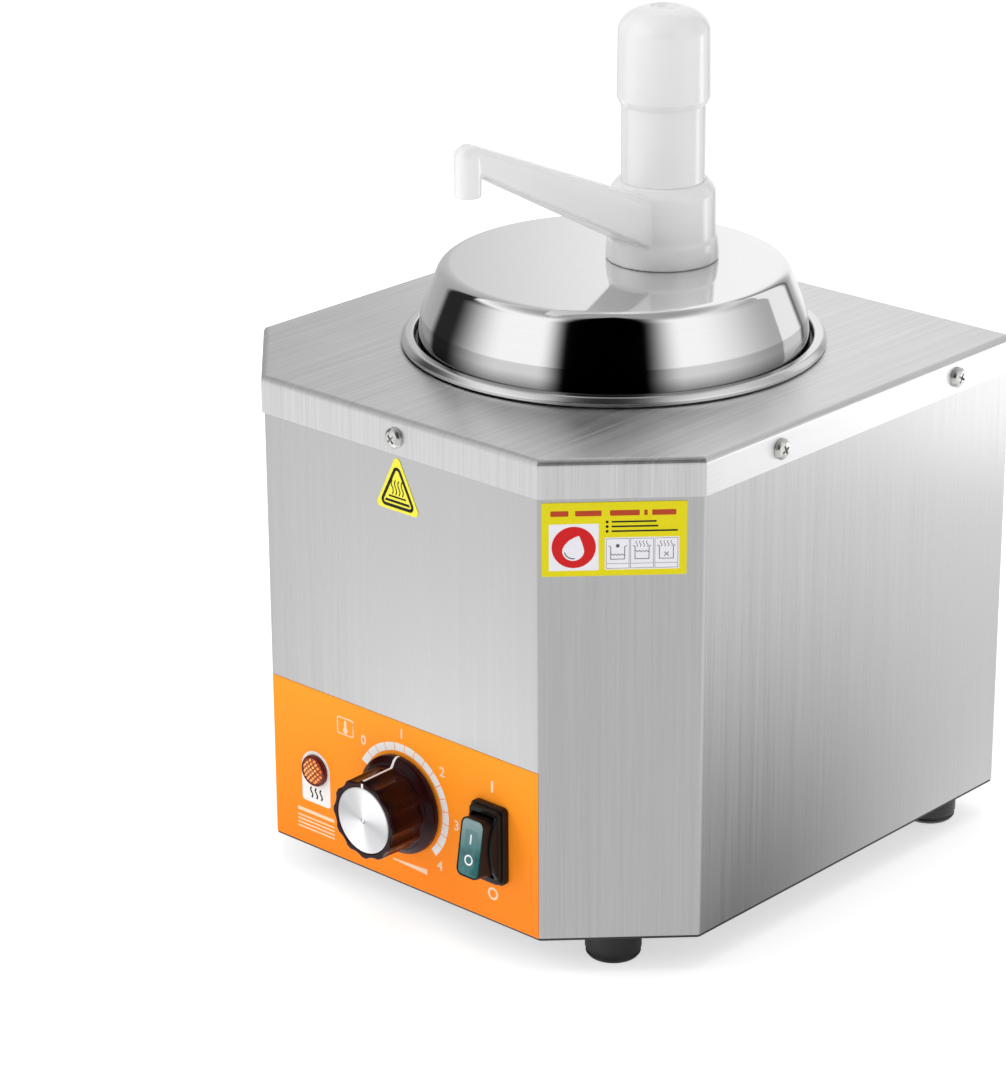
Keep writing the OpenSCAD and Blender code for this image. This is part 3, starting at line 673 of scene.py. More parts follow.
STEEL = (0.60, 0.60, 0.605)
steel_wall = brushed_steel("brushed_wall", STEEL, (2400, 2400, 22), "Z", contrast=0.10)
steel_deck = brushed_steel("brushed_deck", (0.80, 0.80, 0.805), (2600, 22, 22), "Y", contrast=0.17,
                           rough=0.36, side_grain=(22, 22, 2600))
steel_rim = spun_steel("spun_rim", (0.82, 0.82, 0.825), pot_axis * MM, 0.2)
# painted shade in the gap between lid and rim, and over the pot below it
shadowed_gap(steel_rim, (pot_high.x - pot_low.x) / 2 * MM - 0.0042, deck_z * MM + 0.0034)
steel_inside = spun_steel("spun_inside", (0.62, 0.62, 0.62), pot_axis * MM, 0.3)
steel_lid = spun_steel("polished_lid", (0.90, 0.90, 0.905), pot_axis * MM, 0.05, contrast=0.015,
                       lines=900, bump=0.03, anisotropic=0.0)
# painted shade on the lid's lower band
leaning_band(steel_lid, (lid_low.z + 11.6) * MM)
screw_metal = machined("screw_plating", (0.72, 0.72, 0.70))
dark_metal = machined("heated_metal", (0.22, 0.21, 0.20), 0.45, 0.2)
brass = machined("brass", (0.78, 0.56, 0.24), 0.25, 0.12)
copper = machined("copper", (0.80, 0.45, 0.30), 0.28, 0.12)
white_plastic = plastic("white_plastic", (0.90, 0.90, 0.905), 0.20, 0.012, 700, 0.03, 0.45, 0.12)
black_plastic = plastic("black_plastic", (0.010, 0.008, 0.008), 0.34, 0.15, 1400, 0.2, 0.0, shine=0.2)
ivory_plastic = plastic("ivory_plastic", (0.80, 0.76, 0.64), 0.45, 0.04, 900, 0.1)
grey_rubber = plastic("seal_rubber", (0.16, 0.16, 0.165), 0.6, 0.1, 1600, 0.3)
pale_rubber = plastic("pale_rubber", (0.55, 0.55, 0.56), 0.5, 0.05, 1600, 0.2)
foot_rubber = plastic("foot_rubber", (0.018, 0.018, 0.019), 0.5, 0.2, 1300, 0.35)
cable_rubber = plastic("cable_rubber", (0.03, 0.03, 0.032), 0.48, 0.15, 1500, 0.3)
black_steel = plastic("black_coating", (0.03, 0.03, 0.03), 0.5, 0.15, 1100, 0.4)
ink_white = print_ink("ink_white", (0.92, 0.90, 0.88))
ink_cream = print_ink("ink_cream", (1.0, 0.72, 0.50), variation=0.03)
ink_black = print_ink("ink_black", (0.015, 0.015, 0.015))
ink_red = print_ink("ink_red", (0.66, 0.008, 0.010))
ink_maroon = print_ink("ink_maroon", (0.48, 0.06, 0.015))
ink_grey = print_ink("ink_grey", (0.12, 0.11, 0.14))
film_yellow = print_ink("film_yellow", (0.80, 0.70, 0.002), 0.32, 0.03)
film_sign_yellow = print_ink("film_sign_yellow", (0.93, 0.86, 0.06), 0.32, 0.03)
film_white = print_ink("film_white", (0.86, 0.85, 0.90), 0.32, 0.02)


def orange_film():
    """Printed film that turns from a lighter to a deeper orange down the panel, with a faint painted glow
    that lifts its shaded parts.
    """
    s = Shader("orange_film")
    height = s.part(s.coords(), "Z")
    tone = s.mix(s.remap(height, 0, 1, panel_low.z * MM, panel_high.z * MM),
                 (1.0, 0.225, 0.010, 1), (1.0, 0.330, 0.022, 1))
    speck = s.noise(s.coords(), 1800, 3.0, 0.7)
    cloud = s.noise(s.coords(), 60, 2.0, 0.5)
    tone = s.mix(s.remap(speck, 0, 0.10), tone, (1.0, 0.40, 0.05, 1))
    # faint painted glow: the film lights itself a little so its shaded parts stay bright
    s.set(Base_Color=tone, Roughness=s.remap(cloud, 0.42, 0.52), Normal=s.bump(speck, 0.05, 0.00002),
          Specular_IOR_Level=0.05, Emission_Color=tone, Emission_Strength=0.12)
    return s.material


def bakelite():
    """Dark brown phenolic moulding, with a painted red sheen where it is seen at a slant, for the red it
    shows where light catches it.
    """
    s = Shader("bakelite")
    swirl = s.stretched((60, 60, 60), 5.0, 0.65, 1.2)
    fine = s.noise(s.coords(), 1200, 2.0, 0.5)
    painted_sheen_slant = s.add("LayerWeight", {"Blend": 0.35}).outputs["Facing"]
    tone = s.mix(s.remap(swirl, 0, 1), (0.008, 0.002, 0.003, 1), (0.028, 0.001, 0.002, 1))
    # painted sheen: red where the surface is seen at a slant
    tone = s.mix(s.remap(painted_sheen_slant, 0, 0.6, 0.2, 0.9), tone, (0.065, 0.002, 0.002, 1))
    s.set(Base_Color=tone, Roughness=s.remap(swirl, 0.20, 0.30), Normal=s.bump(fine, 0.05, 0.00003),
          Coat_Weight=0.05, Coat_Roughness=0.06, Specular_IOR_Level=0.12)
    return s.material


def spun_disc():
    """Aluminium face turned about the knob's axis, with painted light and shade in a fan about that axis."""
    s = Shader("spun_disc")
    parts, radius = s.about(knob_place * MM, ("X", "Z"))
    rings = s.noise(s.add("CombineXYZ", {0: s.times(radius, 5200)}).outputs[0], 1.0, 3.0, 0.7)
    # painted light and shade: bright and dark sectors in a fan about the knob's axis, turning with the knob
    around = s.math("ARCTAN2", parts["Z"], parts["X"])
    fan = s.math("COSINE", s.times(s.minus(around, radians(68)), 2.0))
    sharp_fan = s.math("COSINE", s.times(s.minus(around, radians(80)), 6.0))
    fan = s.plus(fan, s.times(sharp_fan, 0.25))
    tone = s.mix(s.remap(fan, 0, 1, -1.2, 1.0), (0.46, 0.46, 0.47, 1), (0.83, 0.83, 0.84, 1))
    tone = s.mix(s.remap(rings, 0, 0.16), tone, (0.30, 0.30, 0.31, 1))
    s.set(Base_Color=tone, Metallic=1.0, Anisotropic=0.85, Tangent=s.tangent("Y"),
          Roughness=s.remap(rings, 0.24, 0.36), Normal=s.bump(rings, 0.12, 0.00002))
    return s.material


def lamp_grid():
    """Amber lens with bright cells between dark red lines that run at 45 degrees."""
    s = Shader("amber_lens")
    turned = s.add("VectorRotate", {"Vector": s.offset(lamp_place * MM), "Angle": radians(45)},
                   rotation_type="Y_AXIS")
    parts = s.add("SeparateXYZ", {0: turned.outputs[0]}).outputs
    lines = 0.0
    for axis in ("X", "Z"):
        cell = s.math("FRACT", s.times(parts[axis], LAMP_CELLS / (2 * LAMP_R * MM)))
        edge = s.math("ABSOLUTE", s.minus(cell, 0.5))
        lines = s.math("MAXIMUM", s.remap(edge, 0, 1, 0.26, 0.42), lines)
    cloud = s.noise(s.coords(), 420, 3.0, 0.6)
    cells = s.mix(s.remap(cloud, 0, 1), (0.80, 0.13, 0.006, 1), (1.0, 0.42, 0.09, 1))
    tone = s.mix(lines, cells, (0.16, 0.012, 0.002, 1))
    s.set(Base_Color=tone, Roughness=s.remap(cloud, 0.12, 0.2), Emission_Color=tone, Emission_Strength=0.30,
          Coat_Weight=0.3, Coat_Roughness=0.05, Specular_IOR_Level=0.2)
    return s.material


def lens(name, deep, bright, glow, rough=0.12):
    """Coloured see-through plastic, lit a little from inside."""
    s = Shader(name)
    cloud = s.noise(s.coords(), 240, 3.0, 0.6)
    facing = s.add("LayerWeight", {"Blend": 0.4}).outputs["Facing"]
    tone = s.mix(s.remap(cloud, 0, 1), deep + (1,), bright + (1,))
    tone = s.mix(s.remap(facing, 0, 0.7, 0.1, 0.9), tone, deep + (1,))
    s.set(Base_Color=tone, Roughness=s.remap(cloud, rough, rough + 0.08), Emission_Color=bright + (1,),
          Emission_Strength=glow, Coat_Weight=0.25, Coat_Roughness=0.05, Specular_IOR_Level=0.25,
          Subsurface_Weight=0.2, Subsurface_Radius=(1.0, 0.6, 0.4), Subsurface_Scale=0.002)
    return s.material


def paler_top(material, low, high, colour):
    """Fades a material towards a paler colour between two heights (metres)."""
    s = Shader(material.name, material)
    level = s.part(s.coords(), "Z")
    s.set(Base_Color=s.mix(s.remap(level, 0, 1, low, high), s.old_colour(), colour + (1,)))
    return material


film_orange = orange_film()
bakelite_brown = bakelite()
disc_aluminium = spun_disc()
amber = lamp_grid()
# painted glints for the lamp's pyramids: bright, glowing amber
painted_glint_amber = lens("amber_painted_glint", (0.95, 0.42, 0.08), (1.0, 0.72, 0.34), 0.45)
dark_red = plastic("dark_red_plastic", (0.13, 0.009, 0.004), 0.22, 0.2, 900, 0.06, 0.1, shine=0.25)
teal = paler_top(lens("teal_lens", (0.003, 0.070, 0.075), (0.008, 0.19, 0.19), 0.03),
                 rocker_place.z * MM - 0.001, rocker_place.z * MM + 0.013, (0.27, 0.36, 0.36))
teal_light = paler_top(lens("teal_window", (0.008, 0.085, 0.095), (0.025, 0.19, 0.19), 0.03),
                       rocker_place.z * MM - 0.001, rocker_place.z * MM + 0.016, (0.20, 0.31, 0.31))

for names, finish in (
        (("shell", "back_panel"), steel_wall), (("top_cover",), steel_deck),
        (("base_plate",), black_steel), (("clinch_nuts", "foot_screws", "back_screws"), screw_metal),
        (("thermostat_screws", "knob_grub_screw", "thermostat_shaft"), screw_metal),
        (("intake_ball", "transfer_ball"), screw_metal),
        (("control_panel",), film_orange), (("water_tank",), steel_inside),
        (("thermostat",), machined("thermostat_case", (0.6, 0.6, 0.58), 0.4)),
        (("heating_element",), dark_metal), (("element_nuts", "switch_terminals"), brass),
        (("plug_pins",), brass), (("capillary_bulb",), copper),
        (("lamp_body", "terminal_block"), ivory_plastic), (("wiring",), cable_rubber),
        (("lock_nut", "barrel", "foot_valve", "piston"), white_plastic),
        (("wiper_ring", "piston_seal"), grey_rubber), (("pump_gasket",), pale_rubber)):
    for node_name in names:
        paint_node(node_name, finish)


def flat_faces(node):
    """Gives every face of a CAD sheet its own even shading, so that its flat faces look flat."""
    mesh = frame["nodes"][node].data
    if "custom_normal" in mesh.attributes:
        mesh.attributes.remove(mesh.attributes["custom_normal"])
    mesh.shade_flat()


for sheet_node in ("shell", "top_cover", "back_panel", "base_plate"):
    flat_faces(sheet_node)

# ---------------------------------------------------------------- fasteners


def pan_head(name, places, head_d, body, node):
    """Pan-head screws with a cross recess; places are frames with z out of the head's seat."""
    height = head_d * 0.3
    half = head_d / 2
    profile = fillet([(half * 0.45, -1.0, 0), (half * 0.45, 0, 0.1), (half * 0.985, 0, 0.15),
                      (half, height * 0.42, head_d * 0.055), (half * 0.78, height * 0.84, head_d * 0.14),
                      (half * 0.42, height * 0.99, head_d * 0.1), (0, height, 0)], 5)
    head = lathe(name, [(0, -1.0)] + profile, segments=56)
    arm, wide = head_d * 0.25, head_d * 0.062
    base = height * 0.4
    cross = [(-wide, -arm, 0), (wide, -arm, 0), (wide, -wide, 0.1), (arm, -wide, 0), (arm, wide, 0),
             (wide, wide, 0.1), (wide, arm, 0), (-wide, arm, 0), (-wide, wide, 0.1), (-arm, wide, 0),
             (-arm, -wide, 0), (-wide, -wide, 0.1)]
    outline = fillet(cross, 3, closed=True)
    low = [(p.x * 0.62, p.y * 0.62, base) for p in outline]
    high = [(p.x * 1.1, p.y * 1.1, height + 0.4) for p in outline]
    points, faces = loft([low, high])
    combine(head, mesh_object(name + "_tool", points, faces), "DIFFERENCE")
    smooth(head, 35)
    points, faces = mesh_data(head.data, MM)
    bpy.data.objects.remove(head)
    points, faces = copies(points, faces, places)
    obj = mesh_object(name, points, faces, sharp=35, body=body)
    paint(obj, screw_metal, node)


def cover_screw_frames():
    """Frames on the cover's flanges, one for each screw, with its cross turned by a different angle."""
    frames = []
    width = cover_high.x - 0.5
    for index, (low, high) in enumerate(islands("cover_screws")):
        middle = (low + high) / 2
        if high.x > width:
            seat, right = (cover_high.x, middle.y, middle.z), (0, 1, 0)
        elif low.x < -width:
            seat, right = (cover_low.x, middle.y, middle.z), (0, -1, 0)
        elif low.y < 0:
            seat, right = (middle.x, cover_low.y, middle.z), (1, 0, 0)
        else:
            seat, right = (middle.x, cover_high.y, middle.z), (-1, 0, 0)
        frames.append(frame_at(seat, right, (0, 0, 1)) @ lift(0.05)
                      @ Matrix.Rotation(radians(20 + 37 * index), 4, "Z"))
    return frames


screw_low, screw_high = islands("cover_screws")[0]
pan_head("cover_screw_heads", cover_screw_frames(), screw_high.z - screw_low.z, "housing", "cover_screws")


def rubber_feet():
    """Feet with a rolled sole and a groove, and a recess for the screw."""
    parts = islands("feet")
    low, high = parts[0]
    radius, height = (high.x - low.x) / 2, high.z - low.z
    profile = fillet([(2.3, height, 0), (radius, height, 0.8), (radius, 3.4, 0.6), (radius - 0.7, 2.9, 0.4),
                      (radius - 0.7, 2.2, 0.4), (radius - 0.1, 1.6, 0.5), (radius - 1.4, 0, 1.0),
                      (6.6, 0, 0.5), (5.5, 0.5, 0.3), (5.5, height - 5, 0.4), (2.3, height - 5, 0)], 5)
    points, faces = lathe_data(profile, 72, closed=True)
    places = [lift(low.z, (low.x + high.x) / 2, (low.y + high.y) / 2) for low, high in parts]
    points, faces = copies(points, faces, places)
    obj = mesh_object("rubber_feet", points, faces, body="housing")
    paint(obj, foot_rubber, "feet")


rubber_feet()

# ---------------------------------------------------------------- pot and lid


def pot():
    """Deep pot with a stepped ledge and a rolled rim."""
    rim = (pot_high.x - pot_low.x) / 2
    inner = rim - 5
    wall = 0.8
    bead = (pot_high.z - deck_z) / 2 - 0.03
    ledge = lid_low.z - 0.05
    body_r = inner - 3.8
    low, top = pot_low.z, pot_high.z + 0.6
    outside = fillet([(0, low, 0), (body_r + wall, low, 8), (body_r + wall, ledge - wall, 1.6),
                      (inner + wall, ledge - wall, 0.5), (inner + wall, top - 2 * bead, 0.4),
                      (rim, top - 2 * bead, 0.15), (rim, top - bead * 1.2, bead * 0.7),
                      (rim - 1.5, top, bead * 0.7),
                      (inner, top, 0.8), (inner, ledge, 0.8), (body_r, ledge, 1.6),
                      (body_r, low + wall, 7.2), (0, low + wall, 0)], 10)
    obj = lathe("pot_shell", outside, at_pot, 224, sharp=50, body="pot")
    paint(obj, steel_rim, "pot")


def lid():
    """Domed lid: upright band, cone, rounded shoulder and a flat top with a hole for the pump."""
    wall = 0.8
    edge = (lid_high.x - lid_low.x) / 2
    foot, top = lid_low.z, lid_high.z
    band = foot + 11.6
    lean = radians(22)
    cone = edge - 1.2
    shoulder = cone - (top - band) * tan(lean)
    outside = [(edge - 0.5, foot, 0), (edge, foot, 0.3), (edge - 0.5, foot + 6, 9), (cone, band, 1.1),
               (shoulder, top, 6), (0, top, 0)]
    inside = [(0, top - wall, 0), (shoulder - wall * 0.7, top - wall, 5.2), (cone - wall, band, 0.8),
              (edge - 0.5 - wall, foot + 6, 9), (edge - wall, foot, 0)]
    obj = lathe("lid_shell", fillet(outside, 14) + fillet(inside, 14), at_pot, 320, closed=True, sharp=40)
    hole = lathe("lid_tool", [(0, -5), (PUMP_HOLE_R, -5), (PUMP_HOLE_R, 5), (0, 5)], at_pump, 160)
    combine(obj, hole, "DIFFERENCE")
    smooth(obj, 30)
    paint(obj, steel_lid, "lid", "lid")


pot()
lid()

# ---------------------------------------------------------------- pump


def push_cap():
    """Cap with a slight draft, a domed top and two shallow round recesses in its crown."""
    low, high = cap_low.z - lid_top + 0.6, cap_high.z - lid_top - 1.2
    radius = (cap_high.x - cap_low.x) / 2
    bore = tube_r + 0.05
    crown = high - 10.5
    profile = fillet([(bore, low, 0), (bore + 0.5, low, 0.2), (radius, low + 2.5, 1.0),
                      (radius - 0.3, crown, 0)], 5)
    squareness = 2.25
    for k in range(1, 30):
        a = radians(90 * k / 30)
        r = (radius - 0.3) * cos(a) ** (2 / squareness)
        z = crown + 10.5 * sin(a) ** (2 / squareness)
        if r > 6.1:
            profile.append((r, min(z, high)))
    ring_z = profile[-1][1]
    crown_points = fillet([(6.1, ring_z, 0), (5.5, ring_z + 0.02, 0.3), (5.1, ring_z - 0.45, 0.3),
                           (3.9, ring_z - 0.45, 0.2), (3.5, ring_z - 0.15, 0.2),
                           (3.0, ring_z - 0.15, 0.3), (2.2, ring_z - 0.75, 0.5), (0, ring_z - 0.9, 0)], 4)
    profile += crown_points[1:]
    inner = fillet([(0, crown + 2, 0), (bore - 2, crown + 2, 1), (bore, crown, 0.8), (bore, low, 0)], 3)
    profile += inner[:-1]
    obj = lathe("push_cap_shell", profile, at_pump, 160, sharp=50, body="plunger", weld=True)
    paint(obj, white_plastic, "push_cap")


def arm_solid(name, at_collar):
    """Tapered spout arm with a rounded top and a flat, narrow underside, lofted from the collar."""
    top0, slope_top = 21.6, 0.42
    low0, slope_low = -0.8, 0.53
    stations = 34
    start, end = 3.0, nozzle_reach - 1.0
    rings = []
    for i in range(stations + 1):
        f = start + (end - start) * i / stations
        share = f / nozzle_reach
        top, low = top0 + slope_top * f, low0 + slope_low * f
        wide_top = 10.6 + (5.0 - 10.6) * share
        wide_low = 10.9 + (4.6 - 10.9) * share
        soft = 5.4 + (3.4 - 5.4) * share
        section = fillet([(-wide_low, low, 0.9), (wide_low, low, 0.9), (wide_top, top, soft),
                          (-wide_top, top, soft)], 8, closed=True)
        rings.append([(p.x, -f, p.y) for p in section])
    points, faces = loft(rings)
    return mesh_object(name, points, faces, at_collar)


def spout():
    """Collar, arm and nozzle blended into one moulding, with the pump's bores cut afterwards."""
    low = collar_low.z - lid_top
    skirt = 0.15
    gasket_r = 21.3
    top = 31.0
    nozzle_top = collar_high.z - lid_top
    nozzle_low = nozzle_top - 19.0
    collar = fillet([(0, skirt, 0), (21.8, skirt, 0.2), (21.8, 3.0, 1.0), (21.3, 8.3, 0.5), (20.6, 9.6, 1.0),
                     (20.45, 27.2, 3.6), (17.3, top, 0.7), (0, top, 0)], 8)
    obj = lathe("spout_moulding", collar, at_pump, 144)
    combine(obj, arm_solid("arm_tool", at_pump), "UNION")
    nozzle = fillet([(0, nozzle_low, 0), (4.95, nozzle_low, 0.5), (5.05, nozzle_top, 3.9),
                     (0, nozzle_top, 0)], 10)
    tip = lathe("nozzle_tool", nozzle, at_nozzle, 72)
    combine(obj, tip, "UNION")
    remesh = obj.modifiers.new("remesh", "REMESH")
    remesh.mode = "VOXEL"
    remesh.voxel_size = 0.0005
    soften = obj.modifiers.new("soften", "SMOOTH")
    soften.factor = 0.5
    soften.iterations = 3
    apply_modifiers(obj)
    bore = lathe("bore_tool", [(0, -3), (gasket_r, -3), (gasket_r, low), (PUMP_HOLE_R, low),
                               (PUMP_HOLE_R, 7.5), (18.0, 7.5), (18.0, 23.5), (tube_r + 0.06, 23.5),
                               (tube_r + 0.06, 40), (0, 40)], at_pump, 144)
    combine(obj, bore, "DIFFERENCE")
    mouth = lathe("mouth_tool", [(0, nozzle_low - 3), (3.2, nozzle_low - 3), (3.2, nozzle_top - 5),
                                 (0, nozzle_top - 3)], at_nozzle, 64)
    combine(obj, mouth, "DIFFERENCE")
    smooth(obj, 40)
    paint(obj, white_plastic, "spout_collar", "pump")


def plunger_tube():
    """Plunger tube, with the flow holes above the piston."""
    low, top = tube_low.z - lid_top, tube_high.z - lid_top
    corners = [(14, low, 0.3), (tube_r, low, 0.3), (tube_r, top, 0.3), (14, top, 0.3)]
    profile = fillet(corners, 3, closed=True)
    obj = lathe("plunger_stem", profile, at_pump, 144, closed=True)
    for index, turn in enumerate((0, 90)):
        drill = at_pump @ Matrix.Rotation(radians(turn), 4, "Z") @ lift(-48) \
            @ Matrix.Rotation(radians(90), 4, "Y")
        tool = lathe("drill_tool_%d" % index, [(0, -30), (3, -30), (3, 30), (0, 30)], drill, 40)
        combine(obj, tool, "DIFFERENCE")
    smooth(obj, 30)
    paint(obj, white_plastic, "plunger_tube", "plunger")


def return_spring():
    """Coil under the piston."""
    wire, coils, steps = 0.9, 7, 32
    low, high = box("return_spring")
    radius = (high.x - low.x) / 2 - wire
    rise = high.z - low.z
    path = []
    for i in range(coils * steps + 1):
        turn = tau * i / steps
        height = low.z + wire + (rise - 2 * wire) * i / (coils * steps)
        path.append((pump_axis.x + radius * cos(turn), pump_axis.y + radius * sin(turn), height))
    obj = sweep("spring_coil", path, wire, sides=12, body="pump")
    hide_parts("return_spring")
    paint(obj, screw_metal)
    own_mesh(obj)


push_cap()
spout()
plunger_tube()
return_spring()

# ---------------------------------------------------------------- knob


def knob():
    """Fluted grip on a round skirt."""
    skirt = (knob_high.x - knob_low.x) / 2
    grip = 16.0
    height = panel_y - knob_low.y
    flute_r, flute_depth, flutes = 8.0, 0.95, 12
    flute_at = grip + flute_r - flute_depth
    rim_in, rim_out = 13.5, grip - 0.8

    def shape(r, z, angle):
        if z < 5.0 or r < rim_in:
            return r
        pitch = tau / flutes
        off = (angle % pitch) - pitch / 2
        inside = flute_r ** 2 - (flute_at * sin(off)) ** 2
        if inside <= 0:
            return r
        depth = grip - flute_at * cos(off) + sqrt(inside)
        blend = min(1.0, max(0.0, (z - 5.0) / 1.6)) * min(1.0, (r - rim_in) / (rim_out - rim_in))
        soft = 0.5 * (depth + sqrt(depth * depth + 0.02))
        return r - max(0.0, soft - 0.07) * blend

    outer = fillet([(0, 1.0, 0), (skirt, 1.0, 0.3), (skirt, 3.2, 1.2), (skirt - 2.4, 5.0, 1.4),
                    (grip + 0.25, 5.2, 0.9), (grip, height, 0.8), (13.5, height, 0.25),
                    (13.4, height - 1.2, 0.1), (0, height - 1.2, 0)], 7)
    rows = [outer[0]]
    for a, b in zip(outer, outer[1:]):
        pieces = max(1, int((b - a).length / 1.2)) if b.x > 13 else 1
        rows += [a + (b - a) * k / pieces for k in range(1, pieces + 1)]
    obj = lathe("knob_body", rows, on_knob, 288, shape=shape, sharp=42, body="knob")
    paint(obj, bakelite_brown, "knob")
    disc = fillet([(0, height - 1.15, 0), (13.3, height - 1.15, 0), (13.3, height - 0.15, 0.35),
                   (12.7, height, 0.2), (1.3, height, 0.2), (0.9, height - 0.25, 0.2),
                   (0, height - 0.35, 0)], 4)
    face = lathe("knob_face", disc, on_knob, 144, sharp=25, body="knob")
    paint(face, disc_aluminium, "knob_disc")
    line = fillet([(13.5, height + 0.02, 0), (grip - 0.9, height + 0.02, 0), (grip + 0.08, height - 0.8, 0),
                   (grip + 0.28, 5.9, 0), (skirt - 2.4, 5.15, 0), (skirt - 0.9, 4.3, 0),
                   (skirt + 0.03, 3.0, 0), (skirt + 0.03, 1.6, 0)], 3)
    inward = Vector((-1, -0.6)).normalized() * 0.35
    corners = ((-0.5, 0), (0.5, 0), (0.5, 1), (-0.5, 1))
    points, faces = loft([[(x, p.x + inward.x * d, p.y + inward.y * d) for x, d in corners] for p in line])
    pointer = mesh_object("knob_line", points, faces, on_knob, body="knob")
    paint(pointer, ink_white, "knob_pointer")


knob()

# ---------------------------------------------------------------- lamp


def lamp():
    """Round lamp with a grid of small pyramids on its domed lens, and a painted glint on each: a small
    bright, glowing dome.
    """
    ring = fillet([(5.25, 0.05, 0), (6.4, 0.05, 0.1), (6.4, 1.3, 0.6), (5.8, 2.15, 0.5), (5.25, 1.9, 0.2)],
                  5, closed=True)
    bezel = lathe("lamp_ring", ring, on_lamp, 80, closed=True, body="housing")
    paint(bezel, dark_red, "lamp_bezel")
    radius = LAMP_R
    count = 96
    points, faces, keep = [], [], {}
    step = 2 * radius / count
    tilt = radians(45)
    for i in range(count + 1):
        for k in range(count + 1):
            x, y = -radius + i * step, -radius + k * step
            r = sqrt(x * x + y * y)
            if r > radius:
                scale = radius / r
                if r > radius + step * 1.2:
                    continue
                x, y, r = x * scale, y * scale, radius
            u = (x * cos(tilt) + y * sin(tilt)) / (2 * radius) * LAMP_CELLS
            v = (-x * sin(tilt) + y * cos(tilt)) / (2 * radius) * LAMP_CELLS
            wave = max(abs((u % 1) - 0.5), abs((v % 1) - 0.5))
            edge = max(0.0, 1 - (r / radius) ** 6)
            keep[i, k] = len(points)
            points.append((x, y, 1.75 + 1.0 * (1 - (r / radius) ** 2) + 0.75 * (0.5 - wave) * edge))
    for i in range(count):
        for k in range(count):
            ids = [keep.get(q) for q in ((i, k), (i + 1, k), (i + 1, k + 1), (i, k + 1))]
            if None not in ids:
                faces.append(tuple(ids))
    obj = mesh_object("lamp_lens_grid", points, faces, on_lamp, sharp=20)
    thick = obj.modifiers.new("thick", "SOLIDIFY")
    thick.thickness = 1.4 * MM
    thick.offset = -1
    apply_modifiers(obj)
    smooth(obj, 20)
    paint(obj, amber, "lamp_lens", "housing")
    # painted glints: a small bright dome on each pyramid
    sparks = []
    for i in range(-4, 5):
        for k in range(-4, 5):
            x = (i + 0.5) / LAMP_CELLS * 2 * radius
            y = (k + 0.5) / LAMP_CELLS * 2 * radius
            px, py = x * cos(tilt) - y * sin(tilt), x * sin(tilt) + y * cos(tilt)
            if sqrt(px * px + py * py) < radius - 1.1:
                sparks.append((px, py))
    domes = [lift(1.75 + 1.0 * (1 - (x * x + y * y) / radius ** 2), x, y) for x, y in sparks]
    points, faces = lathe_data([(0, 0.3), (0.30, 0.3), (0.24, 0.46), (0, 0.53)], 12)
    points, faces = copies(points, faces, domes)
    glints = mesh_object("lamp_painted_glints", points, faces, on_lamp, body="housing")
    paint(glints, painted_glint_amber)


lamp()

# ---------------------------------------------------------------- rocker switch


